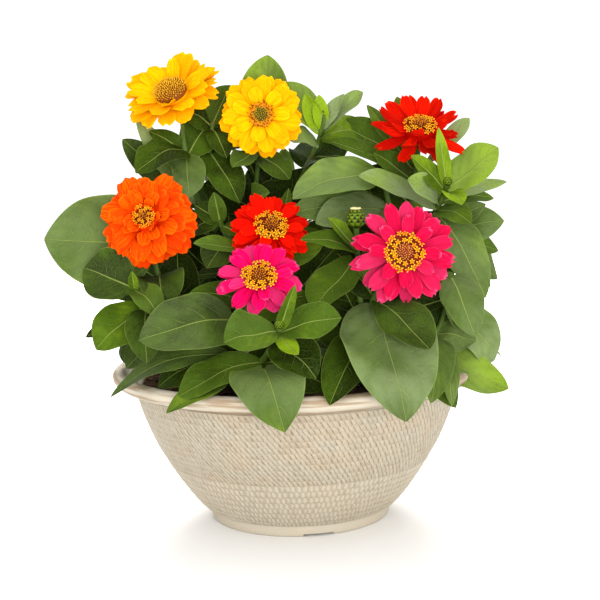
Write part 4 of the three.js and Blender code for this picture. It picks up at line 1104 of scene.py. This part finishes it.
class ZinniaBloomLooks(bpy.types.PropertyGroup):
    petal_rim: FloatProperty(name="Rim", description="How strongly a petal's rim shows", default=0.6,
                             min=0, max=1, subtype="FACTOR")
    yellow: colour("Yellow", "Yellow petals", (0.85, 0.47, 0.001))
    orange: colour("Orange", "Orange petals", (0.8, 0.105, 0.001))
    scarlet: colour("Scarlet", "Scarlet petals", (0.88, 0.006, 0.001))
    red: colour("Red", "Petals of the darker red bloom", (0.82, 0.011, 0.001))
    magenta: colour("Magenta", "Magenta petals", (0.88, 0.003, 0.115))
    pink: colour("Pink", "Pink petals", (0.56, 0.006, 0.054))
    floret: colour("Florets", "Star florets", (0.9, 0.36, 0.004))
    cone: colour("Cone", "Centre of most blooms", (0.33, 0.085, 0.012))


class ZinniaStageLooks(bpy.types.PropertyGroup):
    floor: colour("Floor", "Colour of the floor", (0.92, 0.92, 0.92))
    key_power: FloatProperty(name="Light power", description="Power in watts that each light has its share of",
                             default=33, min=0, max=500)
    room: FloatProperty(name="Room light", description="Strength of the white surroundings",
                        default=1.19, min=0, max=5)


# Pieces

def build_pot(looks):
    """The woven wall, the foot with its coarse rows, and the rolled rim with the inside."""
    finish = pot_finish(looks)
    depth = looks.stitch_depth / MM
    low, high = cut_wall(rounded(WALL_LINE, 1), COARSE_TOP)
    weave = Skin([finish])
    wall = pot_wall(high, depth, stitches=looks.stitches, lean=looks.stitch_lean, **FINE_ROWS)
    stack(weave, [(*wall, FINE)])
    weave.piece("pot_weave", "pot_resin", ["pot"])

    # From the top of the coarse rows down, so the wall's rows are taken backwards
    foot = Skin([finish])
    wall = [rows[::-1] for rows in pot_wall(low, depth * COARSE_DEPTH, **COARSE_ROWS)]
    sides = wall[0].shape[1]
    band = ring_rows(FOOT_LINE, sides)
    turn = np.degrees(turns(sides)) - NOTCH_TURN
    quarter = 360 / NOTCHES
    off = np.abs((turn + quarter / 2) % quarter - quarter / 2)
    half = math.degrees(NOTCH_WIDTH / 2 / FOOT_RADIUS)
    lift = NOTCH_HEIGHT * np.clip((half - off) / 0.7, 0, 1)
    band[NOTCHED, :, 2] = np.maximum(band[NOTCHED, :, 2], lift)
    stack(foot, [(*wall, COARSE), (band, 0.85, 0.5, PLAIN)], [0, 0, 0])
    foot.piece("pot_foot", "pot_resin", ["pot"])

    rim = Skin([finish])
    roll = rounded(RIM_LINE, 1.2)
    inside = [[r - WALL, z] for r, z in reversed(WALL_LINE)] + [[FLOOR_RADIUS, FLOOR_HEIGHT]]
    # Low at the neck, where the finish paints shade in the groove under the rim
    proud = np.interp(roll[:, 0], [130.4, 134.5], [0.05, 0.85])
    proud[len(roll) // 2:] = 0.85
    stack(rim, [(ring_rows(roll, RIM_SIDES), proud[:, None], 0.5, ROLLED),
                (ring_rows(inside, RIM_SIDES), 0.7, 0.5, INSIDE)], [0, 0, FLOOR_HEIGHT])
    rim.piece("pot_rim", "pot_resin", ["pot"])


def soil_top(x, y):
    """Height of the soil at a place, crowned in the middle and gently uneven."""
    lump = noise.fractal(Vector((x * 0.06, y * 0.06, 3)), 0.9, 2.1, 5)
    return SOIL_HEIGHT + SOIL_CROWN * (1 - (x * x + y * y) / SOIL_EDGE ** 2) + 1.7 * lump


def build_soil(looks):
    """The filled-in soil with an uneven top and loose crumbs."""
    skin = Skin([soil_finish(looks)])
    line = [[0, FLOOR_HEIGHT + GAP], [FLOOR_RADIUS - 1, FLOOR_HEIGHT + GAP]]
    line += [[r - WALL - 0.6, z] for r, z in WALL_LINE[3:-2]]
    line += [[SOIL_EDGE * (1 - i / SOIL_RINGS), SOIL_HEIGHT] for i in range(SOIL_RINGS)]

    def uneven(points):
        for k in np.nonzero(points[:, 2] > SOIL_HEIGHT - 1)[0]:
            x, y = points[k, :2]
            grain = noise.noise(Vector((x * 0.5, y * 0.5, 7)))
            points[k, 2] = soil_top(x, y) + 0.5 * grain - 0.6
        return points

    turned(skin, [*line, [0, SOIL_HEIGHT]], 150, move=uneven)
    draw = draws(91)
    for _ in range(CRUMBS):
        angle, far = 2 * np.pi * draw(), SOIL_EDGE * math.sqrt(draw()) * 0.985
        size = 0.7 + 2.1 * draw() ** 2
        x, y = far * math.cos(angle), far * math.sin(angle)
        place = (x, y, soil_top(x, y) - 0.4)
        stretch = np.array([0.8 + 0.6 * draw(), 0.7 + 0.4 * draw(), 0.5 + 0.4 * draw()])
        bend = draw() * 6

        def crumb(points):
            knobs = np.sin(points[:, :1] * 3 / stretch[0] + bend) * np.cos(points[:, 1:2] * 4 + bend)
            return points * (1 + 0.18 * knobs) * stretch + place

        ball = [[0, -1], [0.8, -0.4], [1, 0.2], [0.6, 0.7], [0, 0.9]]
        turned(skin, np.array(ball) * size, 7, look=(0.5, 0, draw()), move=crumb)
    skin.piece("soil_bed", "potting_soil", ["soil"])


def branch_line(plant, branch):
    """A branch from the plant's root, or from the node that it forks from, to its bloom or end."""
    start = [*plant["root"], ROOT_TOP - 2]
    if "from" in branch:
        parent, node = branch["from"]
        start = plant["branches"][parent]["nodes"][node - 1]
    points = [start, *branch["nodes"]]
    if "bloom" in branch:
        bloom = BLOOMS[branch["bloom"]]
        for depth in (CALYX_LENGTH + 2, CALYX_LENGTH - 6):
            points.append(np.array(bloom["place"]) - aimed(*bloom["aim"]) * depth)
    return smooth_line(points, 3)


def leaf_root(plant, lines, k):
    """The place on its branch that a leaf grows from, each leaf of a node a little below the last."""
    name, node = plant["leaves"][k][:2]
    before = sum(row[:2] == [name, node] for row in plant["leaves"][:k])
    line = lines[name]
    nearest = int(np.argmin(np.linalg.norm(line - plant["branches"][name]["nodes"][node - 1], axis=1)))
    back = LEAF_STAGGER * (before + 1)
    while nearest > 0 and back > 0:
        step = np.linalg.norm(line[nearest] - line[nearest - 1])
        if step > back:
            return line[nearest] + (line[nearest - 1] - line[nearest]) * back / step
        back -= step
        nearest -= 1
    return line[nearest]


def named_leaves(skin, name, plant, lines, draw):
    """The leaves that are listed for a plant."""
    for k, (_, _, tip, width, bow, facing, belly, cup, shade) in enumerate(plant["leaves"]):
        leaf(skin, leaf_root(plant, lines, k), tip, width, bow, aimed(*facing), belly, cup, 1.7 * k,
             (*SHADES[shade], draw()))
    for k, (key, node, tip, width, bow, facing, shade) in enumerate(MORE_LEAVES.get(name, [])):
        root = np.array(plant["branches"][key]["nodes"][node - 1], float)
        leaf(skin, root, tip, width, bow, aimed(*facing), *MORE_SHAPE, 2.3 * k, (*SHADES[shade], draw()))


def branch_lines(plant):
    return {key: branch_line(plant, branch) for key, branch in plant["branches"].items()}


def leaf_tree():
    """The surfaces of every plant's named leaves, for keeping the filling leaves clear of them."""
    skin = Skin([])
    for name, plant in PLANTS.items():
        named_leaves(skin, name, plant, branch_lines(plant), draws(1))
    return BVHTree.FromPolygons(np.concatenate(skin.points).tolist(), skin.faces)


def clear_of(named, shape):
    """Whether a filling leaf neither cuts through a named leaf nor hangs close in front of one."""
    trial = Skin([])
    leaf(trial, *shape)
    points = trial.points[0]
    # The third nearest the root may touch, as leaves crowd there
    start = len(points) // 3
    outer = [face for face in trial.faces if min(face) > start]
    if BVHTree.FromPolygons(points.tolist(), outer).overlap(named):
        return False
    return not any(named.ray_cast(point, (0, 1, 0), 25)[0] for point in points[start::9].tolist())


def fill_leaves(skin, plant, lines, named, draw):
    """Small leaves, dark as painted shade inside the plant, in crossed pairs up each branch, clear of the named
    ones in front.
    """
    for key, line in lines.items():
        way = distances(line)
        first = 360 * draw()
        level = FILL_START
        while level < way[-1] - (30 if "bloom" in plant["branches"][key] else 8):
            place = np.array([np.interp(level, way, line[:, k]) for k in range(3)])
            for flip in (0, 180):
                for _ in range(FILL_TRIES):
                    turn = (first + flip + 60 * (draw() - 0.5) + 180) % 360 - 180
                    front = abs(turn) < 115
                    rise = 50 * draw() - (30 if front else 5)
                    long = 34 + 20 * draw()
                    tip = place + aimed(turn, rise) * long
                    facing = aimed(turn * 0.4 if front else turn, 40 + 20 * draw())
                    shade = SHADES[FILL_SHADES[int(draw() * len(FILL_SHADES))]]
                    inside = np.hypot(*tip[:2]) < FILL_RADIUS and tip[2] > FILL_FLOOR
                    if abs(turn) < 60 or not (inside or tip[2] > POT_HEIGHT):
                        continue
                    shape = (place, tip, long * (0.44 + 0.14 * draw()), 2 + 5 * draw(), facing, 0.47, 0.12,
                             6 * draw(), (*shade, draw()))
                    if clear_of(named, shape):
                        leaf(skin, *shape)
                        break
            first += 90 + 12 * draw()
            level += FILL_STEP + 4 * draw()


def scales(skin, tiers, move, draw):
    """Tiers of overlapping scales. A tier: radius and height at the root, at the tip, count and width."""
    def hug(t, u, half, face):
        return -0.32 * half * u * u + 0.15 * t

    for i, (r0, z0, r1, z1, count, width) in enumerate(tiers):
        for k in range(count):
            out = outward(2 * np.pi * (k + 0.5 * (i % 2)) / count)
            blade(skin, out * r0 + UP * z0, out * r1 + UP * z1, out - 0.1 * UP, 0.12 * width, width,
                  lambda t: petal_outline(t, 0.75, 0.3), np.linspace(0, 1, 6), 4, 0.5, SCALE,
                  (0.5, 0, draw()), hug, None, move)


def build_plant(name, plant, finishes, named):
    """One plant's stems, leaves, calyces and buds as a single piece."""
    skin = Skin(finishes)
    draw = draws(sum(map(ord, name)))
    stock = smooth_line([[*plant["root"], z] for z in (ROOT_BOTTOM, 100, ROOT_TOP)], 4)
    tube(skin, stock, np.linspace(ROOT_RADIUS, BRANCH_RADIUS + 0.4, len(stock)), BRANCH_SIDES, STEM,
         (0.5, 0, 0.5))
    lines = branch_lines(plant)
    for key, branch in plant["branches"].items():
        line = lines[key]
        radii = np.linspace(BRANCH_RADIUS, BRANCH_END_RADIUS, len(line))
        for node in branch["nodes"]:
            radii += NODE_SWELL * np.exp(-(np.linalg.norm(line - node, axis=1) / NODE_REACH) ** 2)
        tube(skin, line, radii, BRANCH_SIDES, STEM, (0.5, 0, draw()))
        if "bloom" in branch:
            calyx(skin, BLOOMS[branch["bloom"]], draw)
        if "bud" in branch:
            bud(skin, line[-1], branch["bud"], draw)
    named_leaves(skin, name, plant, lines, draw)
    fill_leaves(skin, plant, lines, named, draw)
    skin.piece(f"{name}_green", "zinnia_green", [name])


def bloom_move(bloom):
    """Turns a bloom's own points, with +Z out of its face, to its place."""
    turn = Vector((0, 0, 1)).rotation_difference(Vector(aimed(*bloom["aim"]))).to_matrix()
    stretch = np.array([*bloom.get("stretch", (1, 1)), 1])
    return lambda points: (points * stretch) @ np.array(turn).T + bloom["place"]


def calyx(skin, bloom, draw):
    """The cup of scales under a bloom."""
    low, top, wide = -CALYX_LENGTH, CALYX_TOP, CALYX_RADIUS
    move = bloom_move(bloom)
    body = [[0, low], [2.2, low], [4.6, low + 2.2], [6.6, low + 6], [7.6, top - 2], [wide - 1, top], [0, top]]
    turned(skin, body, 16, STEM, move=move)
    scales(skin, [
        (2.4, low - 0.4, 6.4, low + 4.6, 8, 4.6), (4.6, low + 1.6, 8.2, low + 7.6, 10, 5),
        (6.4, low + 4.2, 8.9, low + 10.4, 11, 5.2), (7.4, low + 7.2, 9, top + 0.6, 12, 5.2),
    ], move, draw)


def bud(skin, place, radius, draw):
    """A closed bud, a ball of scales in tiers; a broad one has a shoulder for its ring of petals."""
    centre = place + UP * radius * 0.8
    ball = [[0, -0.95], [0.55, -0.8], [0.88, -0.4], [0.93, 0], [0.85, 0.45], [0.6, 0.8], [0, 0.9]]
    tiers = []
    for low, high in ((-0.9, -0.1), (-0.6, 0.25), (-0.25, 0.55), (0.05, 0.78), (0.35, 0.92)):
        root, tip = (math.sqrt(max(1 - z * z, 0.05)) for z in (low, high))
        tiers.append((root * 0.96, low, tip * 1.04, high, 9, 0.72))
    if radius > BROAD_BUD:
        ball[5:] = [[0.62, 0.82], [0.5, 1.0], [0, 1.0]]
        tiers.append((0.75, 0.6, 0.52, 1.05, 9, 0.5))

    def move(points):
        return points + centre

    turned(skin, np.array(ball) * radius, 16, SCALE, move=move)
    scales(skin, [(*(radius * size for size in tier[:4]), tier[4], radius * tier[5]) for tier in tiers],
           move, draw)


def build_petals(name, bloom, finish):
    """The petals in their layers round the disc, then any that stray out of them."""
    skin = Skin([finish])
    move = bloom_move(bloom)
    draw = draws(bloom["seed"])
    radius, top = bloom["core"]
    neck = radius * (0.72 if top > 6 else 1)
    turned(skin, [[0, -4], [radius, -3.8], [radius, -3], [neck, top - 0.6], [neck - 0.8, top], [0, top]], 24,
           look=(0, 0, 0.8), move=move)
    layers = bloom["layers"]
    ragged = bloom["ragged"]
    longer, toward = bloom.get("reach", (0, 0))
    for i, (count, length, width, rise, bow, cup, curl) in enumerate(layers):
        share = i / (len(layers) - 1)
        foot_height = share * (top - 0.4) - 1.8
        rows = []
        for k in range(count):
            turn = (k + 0.5 * (i % 2) + 0.3 * ragged * (draw() - 0.5)) * 2 * np.pi / count
            long = length * (1.1 - 0.13 * ragged * draw())
            long *= 1 + longer * math.cos(turn - math.radians(toward))
            sway = (SWAY if k % 2 else -SWAY) + 9 * ragged * (draw() - 0.5)
            rows.append((turn, long, rise + sway))
        if i == 0:
            rows += [(math.radians(turn), long, lift) for turn, long, lift in bloom.get("strays", ())]
        for turn, long, lift in rows:
            lift = math.radians(lift)
            out = outward(turn)
            foot = out * radius * 0.7 + UP * foot_height
            tip = foot + out * long * math.cos(lift) + UP * long * math.sin(lift)
            petal(skin, foot, tip, width * (0.94 + 0.16 * draw()), bow, cup, curl, bloom, share, move, draw)
    skin.piece(f"{name}_bloom_petals", bloom["petals"], [f"{name}_petals"])


def petal(skin, root, tip, width, bow, cup, curl, bloom, tier, move, draw):
    """One petal, ribbed along its length, notched at its rounded tip and curled over."""
    phase, bite, roll, lean = 6 * draw(), 0.3 + 1.4 * draw(), 0.3 + 1.4 * draw(), 2 * draw() - 1
    ragged = bloom["ragged"]

    def relief(t, u, half, face):
        ribs = 0.2 * np.cos(3.4 * np.pi * u) * np.sin(np.pi * np.clip(t, 0, 1)) ** 0.5
        wave = 0.1 * ragged * np.sin(6 * t + phase + 1.9 * np.sign(u))
        edge = (cup + wave) * half * u * u
        over = -curl * roll * (np.maximum(t - 0.45, 0) / 0.55) ** 2
        twist = 0.25 * ragged * lean * u * half * t
        frill = 0.3 * ragged * np.sin(7 * u + phase) * np.maximum(t - 0.55, 0)
        return ribs * (1 - 0.5 * np.abs(u)) + edge + over + twist + frill

    def trim(t, u):
        near = np.clip(1 - np.abs(u + 0.25 * lean) * 1.6, 0, 1)
        notch = bloom["notch"] * bite * t * t * (0.5 - 0.5 * np.cos(np.pi * near))
        corner = 0.1 * np.abs(u + 0.15 * lean) ** 3 * t ** 5
        tooth = 0.012 * np.cos(9 * u + phase) * t ** 8
        return t - notch - corner + tooth

    rows = np.append(np.linspace(0, 0.94, 13), [0.975, 1])
    blade(skin, root, tip, UP, bow, width, lambda t: petal_outline(t, bloom["claw"], bloom["tip"]), rows, 12,
          PETAL_THICKNESS, 0, (tier, 0, draw()), relief, trim, move)


def star(skin, place, axis, size, height, draw, move):
    """A floret: a short tube that opens into five pointed lobes."""
    axis = unit(axis)
    across = unit(np.cross(axis, [0.31, 0.77, 0.2]))
    other = np.cross(axis, across)
    line = place + axis * np.linspace(-0.4, height, 4)[:, None]
    look = (0.5, 0, draw())
    tube(skin, line, np.array([0.15, 0.17, 0.2, 0.28]) * size, 6, 0, look, move, 0.45)
    spin = 6 * draw()
    for turn in spin + turns(5):
        out = math.cos(turn) * across + math.sin(turn) * other
        foot = place + axis * (height - 0.35) + out * size * 0.1
        tip = place + axis * (height + size * (0.4 * draw() - 0.1)) + out * size
        blade(skin, foot, tip, axis, 0.1 * size, size * 0.56,
              lambda t: np.maximum(leaf_outline(0.15 + 0.85 * t, 0.42), 0.12),
              np.array([0, 0.3, 0.65, 0.9, 1]), 2, 0.45, 0, look, move=move)


def build_florets(name, bloom, finish):
    """The ring of star florets round the cone, or of small anthers where the florets are fine."""
    skin = Skin([finish])
    move = bloom_move(bloom)
    draw = draws(bloom["seed"] + 50)
    inner, outer, size = bloom["ring"]
    low = bloom["core"][1] + GAP
    turned(skin, [[0, low], [outer - 1, low], [outer - 0.8, low + 0.4], [(inner + outer) / 2, low + 0.9],
                  [inner, low + 0.7], [0, low + 0.7]], 24, look=(0, 0, 0), move=move)
    if size < 2:
        for k in range(ANTHERS):
            out = outward(2 * np.pi * k / ANTHERS + 0.1 * draw())
            place = out * (inner - 0.6 + (outer - inner + 0.4) * draw()) + UP * (low + 0.3)
            axis = unit(UP + out * 0.7 * (draw() + 0.2))
            line = place + axis * np.array([-0.3, 0.8, 1.5, 2.3, 2.9])[:, None] * (0.8 + 0.5 * draw())
            tube(skin, line, [0.15, 0.2, 0.42, 0.46, 0.2], 6, 0, (0.5, 0, draw()), move)
    else:
        # An outer round of larger, leaning stars and an inner round of taller, upright ones
        for radius, scale, tall, lean, room in (
            (outer - 1.5, 1, 2.4, 0.6, 1.55), (inner + 1.2, 0.85, 3.4, 0.15, 1.75),
        ):
            count = round(2 * np.pi * radius / (size * scale * room))
            for k in range(count):
                out = outward(2 * np.pi * (k + 0.4 * draw()) / count)
                axis = UP + out * (lean + 0.4 * (draw() - 0.5))
                star(skin, out * radius + UP * (low + 0.3), axis, size * scale * (0.8 + 0.3 * draw()),
                     tall * (0.7 + 0.6 * draw()), draw, move)
    skin.piece(f"{name}_bloom_florets", bloom["florets"], [f"{name}_florets"])


def build_cone(name, bloom, finish):
    """The middle of a bloom, a dome covered in small points."""
    skin = Skin([finish])
    move = bloom_move(bloom)
    draw = draws(bloom["seed"] + 90)
    radius, height = bloom["cone"]
    low = bloom["core"][1] + GAP
    dome = np.array([[0, 0], [0.9, 0], [0.88, 0.4], [0.72, 0.66], [0.42, 0.86], [0, 0.92]])
    turned(skin, dome * [radius, height] + [0, low], 20, look=(0, 0, 0), move=move)
    count = round(radius * radius * 1.05) + 14
    for k in range(count):
        share = math.sqrt((k + 0.5) / count)
        out = outward(k * GOLDEN_ANGLE)
        axis = unit(UP + out * share * 0.6 + 0.25 * np.array([draw() - 0.5, draw() - 0.5, 0]))
        place = out * radius * 0.88 * share + UP * (low + height * (0.88 - 0.5 * share ** 2.4))
        long = (1.6 + 1.5 * draw()) * (0.8 + 0.4 * share)
        line = place + axis * np.linspace(-0.6, long, 4)[:, None]
        thick = np.array([0.4, 0.45, 0.56, 0.2]) * (0.85 + 0.4 * draw())
        tube(skin, line, thick, 5, 0, (0.5, 0, draw()), move)
    skin.piece(f"{name}_bloom_cone", bloom["slot"], [f"{name}_cone"])


def build_bud_ring(finish):
    """The first short petals, a ring on top of the round bud."""
    branch = PLANTS["pink_plant"]["branches"]["bud"]
    centre = branch["nodes"][-1] + UP * (branch["bud"] * 1.75 + GAP)
    skin = Skin([finish])
    draw = draws(77)
    turned(skin, [[0, 0], [3.4, 0], [3.6, 0.5], [2.2, 0.7], [0, 0.2]], 18, look=(0, 0, 0),
           move=lambda points: points + centre)
    for turn in turns(15):
        out = outward(turn)
        tip = centre + out * (3.7 + 0.4 * draw()) + UP * (1.7 + 0.5 * draw())
        blade(skin, centre + out * 3.2 + UP * 0.1, tip, 0.6 * UP - out, -0.3, 2,
              lambda t: petal_outline(t, 0.7, 0.4), np.linspace(0, 1, 6), 4, 0.6, 0, (0.5, 0, 0.8))
    skin.piece("bud_petal_ring", "yellow_florets", ["bud_ring"])


def build_stage(looks):
    """A pale floor, soft lights and the camera."""
    scene = bpy.context.scene
    mesh = bpy.data.meshes.new("floor")
    corners = [(x * FLOOR_HALF, y * FLOOR_HALF, 0) for x, y in ((-1, -1), (1, -1), (1, 1), (-1, 1))]
    mesh.from_pydata(corners, [], [(0, 1, 2, 3)])
    mesh.materials.append(floor_finish(looks))
    floor = bpy.data.objects.new("floor", mesh)
    scene.collection.objects.link(floor)

    world = bpy.data.worlds.new("room")
    scene.world = world
    world.use_nodes = True
    back = world.node_tree.nodes["Background"]
    back.inputs["Color"].default_value = (1, 1, 1, 1)
    back.inputs["Strength"].default_value = looks.room

    for name, place, size, share in LIGHTS:
        data = bpy.data.lights.new(name, "AREA")
        data.energy, data.size = looks.key_power * share, size
        light = bpy.data.objects.new(name, data)
        light.location = place
        aim = Vector((0, 0, AIM_HEIGHT)) - Vector(place)
        light.rotation_euler = aim.to_track_quat("-Z", "Y").to_euler()
        light.visible_glossy = "back" not in name
        scene.collection.objects.link(light)

    data = bpy.data.cameras.new("photo_camera")
    data.sensor_width, data.lens = SENSOR_WIDTH, LENS
    camera = bpy.data.objects.new("photo_camera", data)
    level = Matrix.Rotation(math.pi / 2 - CAMERA_PITCH, 4, "X")
    camera.matrix_world = Matrix.Translation(CAMERA_PLACE) @ level @ Matrix.Rotation(CAMERA_ROLL, 4, "Z")
    scene.collection.objects.link(camera)
    scene.camera = camera
    scene.view_settings.view_transform = "Standard"


class ZINNIA_OT_pot(bpy.types.Operator):
    """Build the woven bowl with its foot and rim"""
    bl_idname = "zinnia.pot"
    bl_label = "Pot"

    def execute(self, context):
        build_pot(context.scene.zinnia_pot)
        return {"FINISHED"}


class ZINNIA_OT_soil(bpy.types.Operator):
    """Fill the bowl with soil"""
    bl_idname = "zinnia.soil"
    bl_label = "Soil"

    def execute(self, context):
        build_soil(context.scene.zinnia_pot)
        return {"FINISHED"}


class ZINNIA_OT_plants(bpy.types.Operator):
    """Grow the seven leafy plants"""
    bl_idname = "zinnia.plants"
    bl_label = "Plants"

    def execute(self, context):
        looks = context.scene.zinnia_green
        finishes = [leaf_finish(looks), stem_finish(looks), scale_finish(looks)]
        named = leaf_tree()
        for name, plant in PLANTS.items():
            build_plant(name, plant, finishes, named)
        return {"FINISHED"}


class ZINNIA_OT_blooms(bpy.types.Operator):
    """Open the seven blooms and the ring on the round bud"""
    bl_idname = "zinnia.blooms"
    bl_label = "Blooms"

    def execute(self, context):
        looks = context.scene.zinnia_bloom
        # Where a bloom has no fourth colour its lower tiers darken to the deep one, as painted shade
        petals = {
            key: petal_finish(f"{key}_petals", getattr(looks, key), deep, rim, reverse,
                              low_tier_colour[0] if low_tier_colour else deep, looks.petal_rim)
            for key, (deep, rim, reverse, *low_tier_colour) in PETAL_COLOURS.items()
        }
        points = {**POINT_COLOURS, "brown": [BROWN_FOOT, looks.cone, BROWN_TIP]}
        points = {key: floret_finish(f"{key}_points", *value) for key, value in points.items()}
        florets = {
            "yellow_florets": floret_finish("yellow_florets", FLORET_FOOT, looks.floret, FLORET_TIP),
            "brown_cone": floret_finish("brown_anthers", *ANTHER_COLOURS),
        }
        for name, bloom in BLOOMS.items():
            # Each bloom's name starts with its colour
            build_petals(name, bloom, petals[name.split("_")[0]])
            if bloom["ring"]:
                build_florets(name, bloom, florets[bloom["florets"]])
            build_cone(name, bloom, points[bloom["points"]])
        build_bud_ring(floret_finish("bud_ring_petals", *BUD_RING_COLOURS))
        return {"FINISHED"}


class ZINNIA_OT_stage(bpy.types.Operator):
    """Set the floor, the lights and the camera"""
    bl_idname = "zinnia.stage"
    bl_label = "Stage"

    def execute(self, context):
        build_stage(context.scene.zinnia_stage)
        return {"FINISHED"}


OPERATORS = (ZINNIA_OT_pot, ZINNIA_OT_soil, ZINNIA_OT_plants, ZINNIA_OT_blooms, ZINNIA_OT_stage)
LOOKS = {
    "zinnia_pot": ZinniaPotLooks, "zinnia_green": ZinniaGreenLooks,
    "zinnia_bloom": ZinniaBloomLooks, "zinnia_stage": ZinniaStageLooks,
}


class ZINNIA_PT_panel(bpy.types.Panel):
    """Lists the pieces and their looks"""
    bl_idname = "ZINNIA_PT_panel"
    bl_label = "Potted zinnia"
    bl_space_type = "VIEW_3D"
    bl_region_type = "UI"
    bl_category = "Zinnia"

    def draw(self, context):
        for operator in OPERATORS:
            self.layout.operator(operator.bl_idname)
        for title in LOOKS:
            looks = getattr(context.scene, title)
            column = self.layout.box().column()
            for name in looks.__annotations__:
                column.prop(looks, name)


CLASSES = (*LOOKS.values(), *OPERATORS, ZINNIA_PT_panel)


def register():
    for cls in CLASSES:
        bpy.utils.register_class(cls)
    for title, looks in LOOKS.items():
        setattr(bpy.types.Scene, title, PointerProperty(type=looks))


def unregister():
    for title in LOOKS:
        delattr(bpy.types.Scene, title)
    for cls in reversed(CLASSES):
        bpy.utils.unregister_class(cls)


def main():
    register()
    for operator in OPERATORS:
        family, title = operator.bl_idname.split(".")
        getattr(getattr(bpy.ops, family), title)()


if __name__ == "__main__":
    main()
